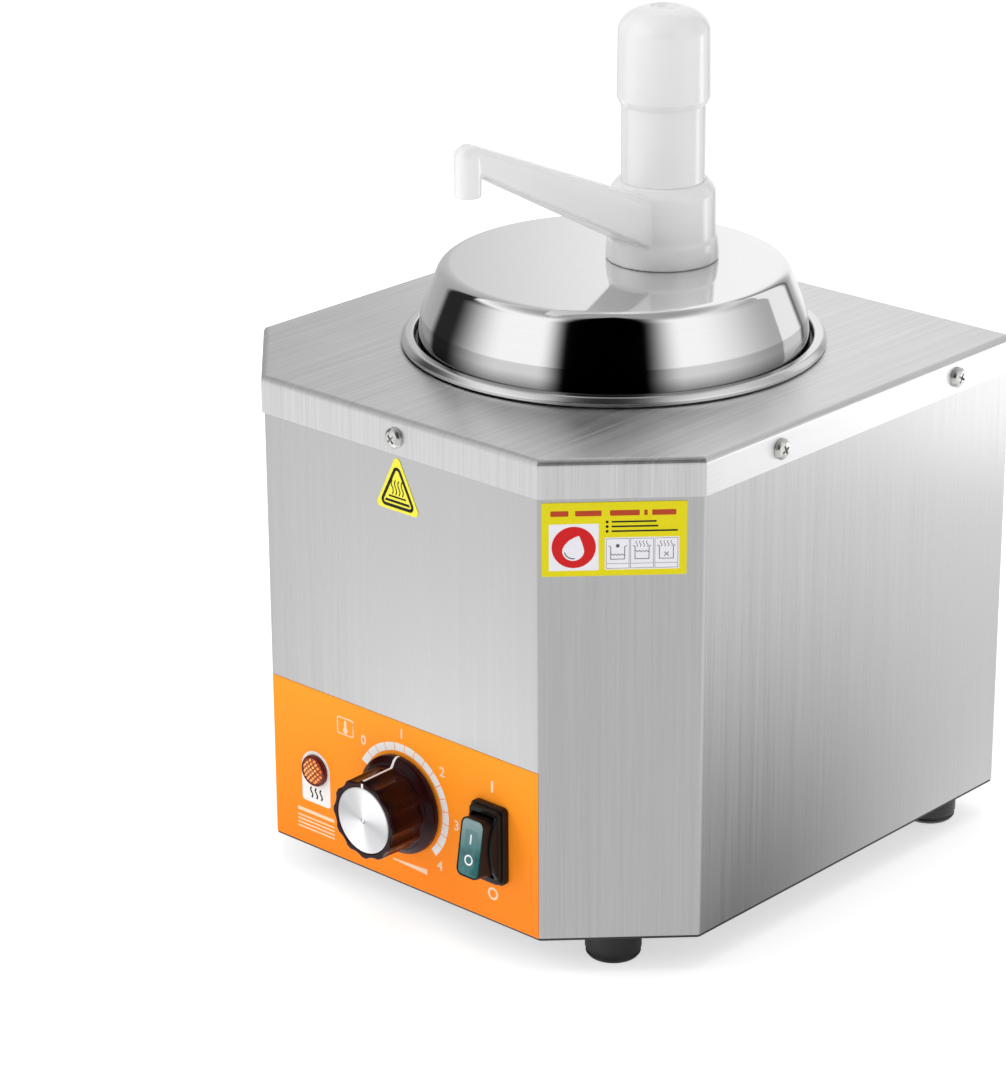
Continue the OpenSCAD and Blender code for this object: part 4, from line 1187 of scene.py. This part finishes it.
def switch():
    """Rocker switch in a stepped splash-proof housing, its rocker pressed in at the top."""
    on_switch = front @ lift(0, (switch_low.x + switch_high.x) / 2, (switch_low.z + switch_high.z) / 2)
    half_w, half_h = (switch_high.x - switch_low.x) / 2, (switch_high.z - switch_low.z) / 2
    open_w, open_h = 5.8, 12.6
    steps = [(half_w, half_h, 0.02, 3.0, 2.2), (half_w - 0.8, half_h - 0.8, 2.8, 4.8, 2.0)]
    body = None
    for index, (w, h, z0, z1, radius) in enumerate(steps):
        layer = prisms("switch_layer_%d" % index, [round_rect(-w, -h, w, h, radius, 8)], z0, z1,
                       on_switch, bevel=0.5)
        if body is None:
            body = layer
        else:
            combine(body, layer, "UNION")
    cheek_r, cheek_out, wide = 23.3, 8.5, 6.9
    profile = []
    for k in range(25):
        y = -13.6 + 27.2 * k / 24
        profile.append((y, cheek_out - cheek_r + sqrt(cheek_r ** 2 - y * y)))
    outline = [Vector((-13.6, 2.0))] + [Vector(p) for p in profile] + [Vector((13.6, 2.0))]
    turn = Matrix(((0, 0, 1, 0), (1, 0, 0, 0), (0, 1, 0, 0), (0, 0, 0, 1)))
    cheeks = prisms("switch_cheeks", [outline], -wide, wide, on_switch @ turn, bevel=0.7)
    combine(body, cheeks, "UNION")
    back = prisms("switch_back", [round_rect(-6.5, -13.6, 6.5, 13.6, 0.8)], -24, 1, on_switch)
    combine(body, back, "UNION")
    hole = prisms("switch_tool", [round_rect(-open_w, -open_h, open_w, open_h, 1.2)], -15, 30, on_switch)
    combine(body, hole, "DIFFERENCE")
    body.name = "switch_boot"
    smooth(body, 32)
    paint(body, black_plastic, "switch_housing", "housing")

    tilt = -9.5
    pose = on_switch @ lift(panel_y - rocker_place.y) @ Matrix.Rotation(radians(tilt), 4, "X")
    face, length, width = 6.5, 23.0, 11.4
    hood = prisms("rocker_frame", [round_rect(-width / 2, -length / 2, width / 2, length / 2, 2.8, 8)],
                  -2, face + 1.0, pose, bevel=0.25)
    outline = round_rect(-5.35, -11.15, 5.35, 11.15, 2.5, 8)
    well = prisms("rocker_tool", [outline], face - 0.9, face + 6, pose)
    combine(hood, well, "DIFFERENCE")
    leg = prisms("rocker_leg", [round_rect(-3, -4, 3, 4, 1)], -11, -1.5, pose)
    combine(hood, leg, "UNION")
    pin = lathe("rocker_pin", [(0, -width / 2 - 0.8), (1.2, -width / 2 - 0.8), (1.2, width / 2 + 0.8),
                               (0, width / 2 + 0.8)], pose @ Matrix.Rotation(radians(90), 4, "Y"), 32)
    combine(hood, pin, "UNION")
    smooth(hood, 32)
    paint(hood, black_plastic, "rocker", "rocker")

    outline = round_rect(-5.3, -11.1, 5.3, 11.1, 2.45, 8)
    lens_piece = prisms("rocker_window", [outline], face - 0.85, face + 0.95, pose, bevel=0.6, body="rocker")
    paint(lens_piece, teal, "rocker_lens")
    window = [round_rect(-2.9, -7.6, 2.9, 7.0, 0.5, 4)]
    printed("rocker_plate", window, pose, teal_light, face + 0.90, face + 0.98, "rocker")
    bar = [round_rect(-0.32, 1.6, 0.32, 5.4, 0.25, 4)]
    ring = stroke(circle(0, -4.6, 1.75, 40), 0.62, closed=True)
    for name, mark in (("rocker_mark_on", bar), ("rocker_mark_off", ring)):
        printed(name, mark, pose, ink_white, low=face + 0.98, high=face + 1.03, body="rocker",
                weld=mark is ring)


switch()

# ---------------------------------------------------------------- printing on the panel


def wave(x, y0, y1, swing, steps=14):
    """Points of a rising wavy line, as used for heat."""
    return [(x + swing * sin(tau * k / steps), y0 + (y1 - y0) * k / steps) for k in range(steps + 1)]


def panel_print():
    """Dial scale and its numbers, lamp plate, thermometer, switch marks, wedge and plain lines."""
    dial = []
    start, end, parts = -62.0, 135.0, 15
    pitch = (end - start) / parts
    for k in range(parts):
        dial.append(dial_arc(20.9, 24.1, start + k * pitch + 0.45, start + (k + 1) * pitch - 0.45))
    printed("dial_band", dial, on_knob, ink_white)
    for digit, angle in enumerate((-46, 0, 48, 92, 137)):
        r = 28.2
        place = on_knob @ lift(0.02, r * sin(radians(angle)), r * cos(radians(angle)))
        paint(number("dial_number_%d" % digit, str(digit), 5.6, place, body="housing"),
              ink_cream)

    half = 7.65
    outline = round_rect(-half, -14.4, half, 7.7, 1.4, 6)
    outline = [p for p in outline if p.y < 0] + arc(0, 0.1, half, half, range(0, 181, 6))
    outline.sort(key=lambda p: atan2(p.y + 3.5, p.x))
    printed("lamp_plate", [outline], on_lamp, ink_white, high=0.05)
    waves = []
    for dx in (-2.6, 0, 2.6):
        waves += stroke(wave(dx, -12.3, -7.9, 0.55), 0.75)
    printed("lamp_plate_mark", waves, on_lamp, ink_black, 0.05, 0.08)

    lines = stroke(round_rect(-4.2, -3.4, 4.2, 3.4, 0.9, 4), 0.5, closed=True)
    lines.append(arc(0, 1.9, 0.62, 0.62, range(0, 181, 20)) + arc(0, -1.6, 1.25, 1.25, range(-240, 61, 15)))
    printed("thermometer_mark", lines, front @ lift(0, -29.95, 71.35), ink_cream, weld=True)

    lines = [round_rect(-10.5, -0.7, 9.5, 0.7, 0.3, 2)]
    for k in range(4):
        y = -2.7 - 1.6 * k
        lines.append(round_rect(-10.5, y - 0.3, 9.5, y + 0.3, 0.1, 2))
    printed("plain_lines", lines, on_lamp @ lift(0, 0, -19.0), ink_cream)

    x = (switch_low.x + switch_high.x) / 2
    bar = [round_rect(-0.55, -2.4, 0.55, 2.4, 0.4, 4)]
    printed("switch_print_on", bar, front @ lift(0, x, 70.0), ink_cream)
    loop = stroke(circle(0, 0, 2.1, 40), 0.9, closed=True)
    printed("switch_print_off", loop, front @ lift(0, x, 26.0), ink_cream, weld=True)
    wedge = [Vector((-9.0, -0.25)), Vector((9.0, -1.1)), Vector((9.0, 1.1)), Vector((-9.0, 0.25))]
    printed("heat_wedge", [wedge], front @ lift(0, 3.5, 23.6), ink_cream)


panel_print()


def heat_sign():
    """Yellow triangle with a black border and four heat waves over two bars."""
    low, high = box("heat_sticker")
    place = frame_at(((low.x + high.x) / 2, low.y, low.z), (1, 0, 0), (0, 0, 1))
    half, tall = (high.x - low.x) / 2, high.z - low.z
    plate = fillet([(-half - 1.2, 0, 1.7), (half + 1.2, 0, 1.7), (0, tall + 1.9, 1.7)], 8, closed=True)
    obj = prisms("heat_sign_plate", [plate], -0.19, 0.0, place, body="housing")
    paint(obj, film_sign_yellow, "heat_sticker")
    inner = [(-half + 1.7, 1.75, 1.5), (half - 1.7, 1.75, 1.5), (0, tall - 2.6, 1.5)]
    band = stroke(fillet(inner, 8, closed=True), 1.25, closed=True)
    waves = []
    for dx in (-2.55, -0.85, 0.85, 2.55):
        waves += stroke(wave(dx, 6.3, 12.0, 0.5), 0.5)
    waves.append([Vector((-4.4, 5.1)), Vector((4.4, 5.1)), Vector((4.4, 5.8)), Vector((-4.4, 5.8))])
    waves.append([Vector((-6.4, 3.1)), Vector((6.4, 3.1)), Vector((5.9, 4.1)), Vector((-5.9, 4.1))])
    printed("heat_sign_marks", band + waves, place, ink_black, high=0.03, weld=True)


heat_sign()


def water_sign():
    """Yellow label with a drop on a red disc, three small tank pictures and plain bars for writing."""
    low, high = box("water_label")
    width, tall = 51.9, high.z - low.z
    right = Vector((1, 1, 0)).normalized()
    out = Vector((1, -1, 0)).normalized()
    middle = (low + high) / 2
    corner = Vector((middle.x, middle.y, low.z)) - right * width / 2 + out * 0.12
    place = frame_at(corner, right, (0, 0, 1))
    obj = prisms("water_sign_plate", [round_rect(0, 0, width, tall, 0.7, 4)], -0.2, 0.0, place,
                 body="housing")
    paint(obj, film_yellow, "water_label")
    white = [round_rect(2.6, 2.2, 20.4, 20.0, 0.3, 3), round_rect(22.6, 2.3, 49.2, 14.6, 0.3, 3)]
    printed("water_sign_fields", white, place, film_white, high=0.02)
    cx, cy = 11.5, 11.1
    printed("water_sign_disc", [circle(cx, cy, 7.9, 72)], place, ink_red, 0.02, 0.04)
    drop = arc(cx - 0.2, cy - 1.4, 3.9, 3.7, range(-200, 21, 10))
    for dx, dy in ((3.0, 1.6), (2.2, 3.6), (1.9, 4.4), (0.4, 3.9), (-1.8, 2.6), (-3.2, 1.0)):
        drop.append(Vector((cx + dx, cy + dy)))
    printed("water_sign_drop", [drop], place, film_white, low=0.04, high=0.06)
    shade = stroke(arc(cx - 0.2, cy - 1.3, 3.1, 3.0, range(-170, -79, 10)), 0.45)
    printed("water_sign_shade", shade, place, ink_grey, 0.06, 0.07)
    title = []
    for a, b in ((3.2, 9.6), (12.0, 21.4), (24.4, 35.0), (36.6, 37.8), (39.4, 48.0)):
        title.append(round_rect(a, 22.9, b, 25.0, 0.25, 2))
    printed("water_sign_title", title, place, ink_maroon, high=0.02)
    lines = []
    for y, b in ((20.6, 41.0), (18.8, 41.6), (17.0, 48.6)):
        lines.append(circle(23.4, y, 0.55, 12))
        lines.append(round_rect(25.0, y - 0.32, b, y + 0.32, 0.1, 2))
    tanks = []
    first_tank, tank_wide, tank_pitch = 23.1, 8.2, 8.7
    for k in range(3):
        x0 = first_tank + k * tank_pitch
        x1 = x0 + tank_wide
        tanks += stroke([(x0, 2.8), (x1, 2.8), (x1, 14.1), (x0, 14.1)], 0.16, closed=True)
        tanks += stroke([(x0, 4.6), (x1, 4.6)], 0.14)
        tanks += stroke([(x0 + 0.9, 11.4), (x0 + 1.6, 11.0), (x0 + 1.6, 6.3), (x1 - 1.6, 6.3),
                         (x1 - 1.6, 11.0), (x1 - 0.9, 11.4)], 0.28)
        if k < 2:
            ripple = [(x0 + 1.6 + (x1 - x0 - 3.2) * q / 24, 8.0 + k * 1.2 + 0.28 * sin(q * tau / 6))
                      for q in range(25)]
            tanks += stroke(ripple, 0.26)
        if k > 0:
            for q in range(4):
                tanks += stroke(wave(x0 + 2.2 + q * 1.25, 10.9, 13.2, 0.3, 8), 0.24)
    for start, end in ((7.2, 8.8), (8.8, 7.2)):
        tanks += stroke([(x0 + 3.3, start), (x0 + 5.0, end)], 0.3)
    tanks.append(circle(27.2, 11.4, 0.7, 16))
    printed("water_sign_lines", lines, place, ink_black, high=0.02)
    printed("water_sign_pictures", tanks, place, ink_grey, 0.02, 0.035)


water_sign()

# ---------------------------------------------------------------- mains cord


def mains():
    """Cord with a flanged relief at the housing and a moulded plug."""
    relief_low, relief_high = box("strain_relief")
    plug_low, plug_high = box("plug_body")
    cord_low, cord_high = box("power_cord")
    x, z = (relief_low.x + relief_high.x) / 2, (relief_low.z + relief_high.z) / 2
    wall = relief_low.y + 8
    nose = relief_high.y - wall
    exit_place = Matrix.Translation((x, wall, z)) @ Matrix.Rotation(radians(-90), 4, "X")
    corners = [(3.65, -8, 0), (6.8, -8, 0.2), (6.8, 0.1, 0.1), (9.5, 0.1, 0.3), (9.5, 2.2, 0.5),
               (7, 2.8, 0.4), (6.2, 3.0, 0.2), (5.2, 3.3, 0.2), (5.0, nose, 0.3), (3.65, nose, 0)]
    relief = lathe("cord_relief", fillet(corners, 3), exit_place, 56, closed=True, body="housing")
    paint(relief, black_plastic, "strain_relief")

    cord_r = 3.6
    far_y = cord_high.y - cord_r
    floor_z = cord_low.z + cord_r
    plug_x = plug_high.x
    path = curve_points([(x, wall - 14, z), (x, wall, z), (x, (wall + far_y) / 2 + 1, z - 0.8),
                         (x, far_y - 0.3, z - 7), (x - 1, far_y, floor_z + 9),
                         (x - 7, far_y, floor_z + 1.6), (x - 20, far_y, floor_z),
                         (plug_x, far_y, floor_z), (plug_x - 10, far_y, floor_z)], 12)
    cord = sweep("mains_cord", path, cord_r - 0.02, body="housing")
    paint(cord, cable_rubber, "power_cord")

    def at_plug(height):
        return frame_at((plug_low.x, far_y, height), (0, 1, 0), (0, 0, 1))

    head = [round_rect(-9, -11, 9, 11, 3.5, 6)]
    plug = prisms("plug_moulding", head, 0, 24, at_plug(11.5), bevel=1.2)
    neck = []
    for k in range(7):
        a = 22.5 + k * 3.2
        big = 9 - k * 0.62
        neck += [(big, a, 0.3), (big, a + 1.7, 0.3), (big - 0.8, a + 1.9, 0.1), (big - 0.8, a + 3.0, 0.1)]
    neck = [(0, 22.0, 0)] + neck + [(3.8, 45.0, 0.2), (0, 45.0, 0)]
    tail = lathe("plug_neck", fillet(neck, 2), at_plug(9.5), 48)
    combine(plug, tail, "UNION")
    bore = lathe("plug_tool", [(0, 30), (cord_r, 30), (cord_r, 60), (0, 60)], at_plug(floor_z), 40)
    combine(plug, bore, "DIFFERENCE")
    for y in (-5, 5):
        slot = prisms("pin_tool", [round_rect(y - 0.85, 8, y + 0.85, 15, 0.1)], -5, 8.5, at_plug(0))
        combine(plug, slot, "DIFFERENCE")
    smooth(plug, 35)
    paint(plug, black_plastic, "plug_body", "housing")


mains()

# ---------------------------------------------------------------- studio

AZIMUTH, ELEVATION, ROLL = radians(42.785), radians(21.396), radians(-0.398)
DISTANCE, ACROSS, ABOVE = 1535.7, -39.0, 114.2
FOCAL = 126.63

# Dark gaps between the soft boxes. Degrees to the right of the camera at which each gap begins and
# is full, ceases to be full and ends; the same four for the sine of its elevation; its darkness.
DARK_GAPS = (
    ((-48, -31, 17, 42), (-2, -1.5, 2, 3), 1.0),
    ((-146, -124, -116, -72), (-2, -1.5, 0.46, 0.66), 0.99),
    ((125, 130, 135, 142), (-2, -1.5, 0.42, 0.50), 0.80),
    ((50, 112, 200, 210), (-2, -1.5, 0.60, 0.80), 0.58),
    ((-200, -190, -140, -128), (-2, -1.5, 0.60, 0.80), 0.45),
    ((-200, -190, -124, -112), (0.38, 0.46, 0.54, 0.62), 0.85),
    ((-200, -190, 190, 200), (0.60, 0.95, 2, 3), 0.65),
)
SKY_FILL = 0.58
FLOOR_GLOW = 0.58

# How bright the floor board is in front, before the chamfer and along the right-hand wall
FRONT_LEFT, FRONT_RIGHT, CHAMFER_GREY, RIGHT_DARK, RIGHT_LIGHT = 0.80, 1.72, 0.74, 0.25, 1.04
# Brightness of a wedge of light on that board, and the turn of its middle from the camera's azimuth
STREAK, STREAK_TURN = 1.5, radians(14)

# Places across the back board (metres) and how bright it is there
BACK_LEVELS = ((-0.66, 0.02), (-0.50, 0.40), (-0.30, 0.45), (-0.16, 0.53), (0.10, 0.98), (0.25, 0.95),
               (0.42, 0.40), (0.47, 0.12), (0.56, 0.88))


class Studio(Shader):
    """Node tree of a light-giving surface or of the world."""

    def __init__(self, owner):
        self.owner = owner
        self.owner.use_nodes = True
        self.tree = self.owner.node_tree
        self.tree.nodes.clear()

    def place_parts(self):
        return self.add("SeparateXYZ", {0: self.add("TexCoord").outputs["Object"]}).outputs

    def band(self, value, begin, full, fade, end):
        """1 from full to fade, and 0 outside begin and end."""
        return self.times(self.step(value, begin, full), self.step(value, end, fade))

    def step(self, value, start, end, low=0.0, high=1.0):
        """Runs smoothly from low to high as the value goes from start to end."""
        return self.add("MapRange", {"Value": value, "From Min": start, "From Max": end, "To Min": low,
                                     "To Max": high}, interpolation_type="SMOOTHSTEP").outputs[0]

    def levels(self, value, points):
        """Brightness that runs smoothly through (place, level) points."""
        total = points[0][1]
        for (start, low), (end, high) in zip(points, points[1:]):
            total = self.plus(total, self.step(value, start, end, 0.0, high - low))
        return total

    def emit(self, strength):
        """Gives off white light of this strength."""
        if isinstance(self.owner, bpy.types.World):
            bpy.context.scene.world = self.owner
            source = self.add("Background", {"Color": (1, 1, 1, 1), "Strength": strength})
            output = self.tree.nodes.new("ShaderNodeOutputWorld")
        else:
            source = self.add("Emission", {"Color": (1, 1, 1, 1), "Strength": strength})
            output = self.tree.nodes.new("ShaderNodeOutputMaterial")
        self.tree.links.new(source.outputs[0], output.inputs[0])


def camera():
    """Camera that looks along the given azimuth and elevation, rolled and shifted a little."""
    back = Vector((sin(AZIMUTH) * cos(ELEVATION), -cos(AZIMUTH) * cos(ELEVATION), sin(ELEVATION)))
    level = Vector((0, 0, 1)).cross(back).normalized()
    upright = back.cross(level)
    right = level * cos(ROLL) + upright * sin(ROLL)
    up = upright * cos(ROLL) - level * sin(ROLL)
    data = bpy.data.cameras.new("camera")
    data.lens = FOCAL
    data.sensor_width = 36
    data.clip_start, data.clip_end = 0.05, 50
    obj = linked("camera", data)
    matrix = Matrix((right, up, back)).transposed().to_4x4()
    matrix.translation = (right * ACROSS + up * ABOVE + back * DISTANCE) * MM
    obj.matrix_world = matrix
    bpy.context.scene.camera = obj


def world():
    """White for the camera; for light and reflections a studio with dark gaps between its soft boxes."""
    s = Studio(bpy.data.worlds.new("studio"))
    direction = s.add("TexCoord").outputs["Generated"]
    turned = s.add("VectorRotate", {"Vector": direction, "Angle": -AZIMUTH}, rotation_type="Z_AXIS")
    parts = s.add("SeparateXYZ", {0: turned.outputs[0]})
    around = s.math("ARCTAN2", parts.outputs["X"], s.times(parts.outputs["Y"], -1.0))
    side = s.times(around, 180 / pi)
    height = parts.outputs["Z"]
    light = 1.0
    for across, up, dark in DARK_GAPS:
        mask = s.times(s.band(side, *across), s.band(height, *up))
        light = s.times(light, s.minus(1.0, s.times(mask, dark)))
    path = s.add("LightPath").outputs
    light = s.plus(s.times(path["Is Diffuse Ray"], SKY_FILL),
                   s.times(light, s.minus(1.0, path["Is Diffuse Ray"])))
    s.emit(s.math("MAXIMUM", path["Is Camera Ray"], light))


def area_light(name, place, target, size, power):
    """Soft white light that no reflection shows."""
    data = bpy.data.lights.new(name, "AREA")
    data.shape = "RECTANGLE"
    data.size, data.size_y = size
    data.energy = power
    obj = linked(name, data)
    obj.location = place
    obj.rotation_euler = (Vector(target) - Vector(place)).to_track_quat("-Z", "Y").to_euler()
    obj.visible_glossy = False


def sheet(name, corners):
    """Four-cornered surface of the studio, with its corners in metres."""
    mesh = bpy.data.meshes.new(name)
    mesh.from_pydata(corners, [], [(0, 1, 2, 3)])
    obj = linked(name, mesh)
    return obj


def ground(name, half, height):
    """Level square about the origin."""
    return sheet(name, [(-half, -half, height), (half, -half, height), (half, half, height),
                        (-half, half, height)])


def glossy_only(obj):
    """Lets only reflections see the surface."""
    for key in ("visible_camera", "visible_diffuse", "visible_shadow", "visible_transmission"):
        setattr(obj, key, False)


def floor_board():
    """Board on the floor that only reflections see: light in front, grey before the chamfer, and
    running from dark to light along the right-hand wall."""
    obj = ground("floor_board", 3, 0.0005)
    glossy_only(obj)
    s = Studio(bpy.data.materials.new("floor_board"))
    parts = s.place_parts()
    slope = cos(AZIMUTH) / sin(AZIMUTH)
    wall_x, wall_y = cover_high.x * MM, cover_low.y * MM
    along = s.minus(parts["Y"], s.times(s.minus(parts["X"], wall_x), slope))
    corner = wall_y + 0.0425
    fade = s.step(along, corner + 0.01, -corner + 0.03, 0.0, FRONT_RIGHT - FRONT_LEFT)
    front_part = s.minus(s.step(along, corner - 0.03, corner + 0.005, CHAMFER_GREY, FRONT_RIGHT), fade)
    far = s.step(parts["X"], wall_x + 0.03, wall_x + 0.30)
    near_side = s.step(along, corner - 0.035, corner + 0.005, CHAMFER_GREY, RIGHT_DARK)
    rise = s.step(along, corner, -corner + 0.06, 0.0, RIGHT_LIGHT - RIGHT_DARK)
    right_part = s.plus(s.plus(near_side, rise), s.times(far, 0.28))
    at_front = s.step(parts["Y"], -0.09, -0.12)
    level = s.plus(s.times(at_front, front_part), s.times(s.minus(1.0, at_front), right_part))
    from_pump = s.offset(pump_axis * MM)
    sides = s.add("SeparateXYZ", {0: from_pump}).outputs
    aside = s.math("ARCTAN2", sides["Y"], sides["X"])
    away = s.add("VectorMath", {0: from_pump}, operation="LENGTH").outputs["Value"]
    edges = [AZIMUTH + STREAK_TURN + radians(degrees) for degrees in (-10, -5, 5, 10)]
    streak = s.times(s.band(aside, *edges), s.step(away, 0.54, 0.66))
    s.emit(s.plus(level, s.times(streak, STREAK)))
    obj.data.materials.append(s.owner)


def back_board():
    """Upright board behind the object that only reflections see, brightest right of the middle."""
    half, height, behind = 1.2, 0.9, 0.45
    obj = sheet("back_board", [(-half, 0, 0), (half, 0, 0), (half, 0, height), (-half, 0, height)])
    obj.rotation_euler = (0, 0, AZIMUTH)
    obj.location = (-behind * sin(AZIMUTH), behind * cos(AZIMUTH), 0)
    glossy_only(obj)
    s = Studio(bpy.data.materials.new("back_board"))
    parts = s.place_parts()
    s.emit(s.levels(parts["X"], BACK_LEVELS))
    obj.data.materials.append(s.owner)


def studio():
    """White floor, the two boards and the lights."""
    floor = ground("floor", 20, 0)
    s = Shader("floor_paper")
    patch = s.stretched((2, 2, 2), 2.0, 0.5)
    s.set(Base_Color=s.shade((0.80, 0.80, 0.80), patch, 0.01), Roughness=0.9, Specular_IOR_Level=0.1,
          Emission_Color=(1, 1, 1, 1), Emission_Strength=FLOOR_GLOW)
    floor.data.materials.append(s.material)
    floor_board()
    back_board()
    area_light("key_left", (-1.5, -1.3, 1.3), (0, 0, 0.2), (1.0, 1.4), 15)
    area_light("top_soft", (0.1, 0.2, 2.2), (0, 0, 0.1), (1.6, 1.6), 9)
    bpy.context.scene.view_settings.view_transform = "Standard"


camera()
world()
studio()
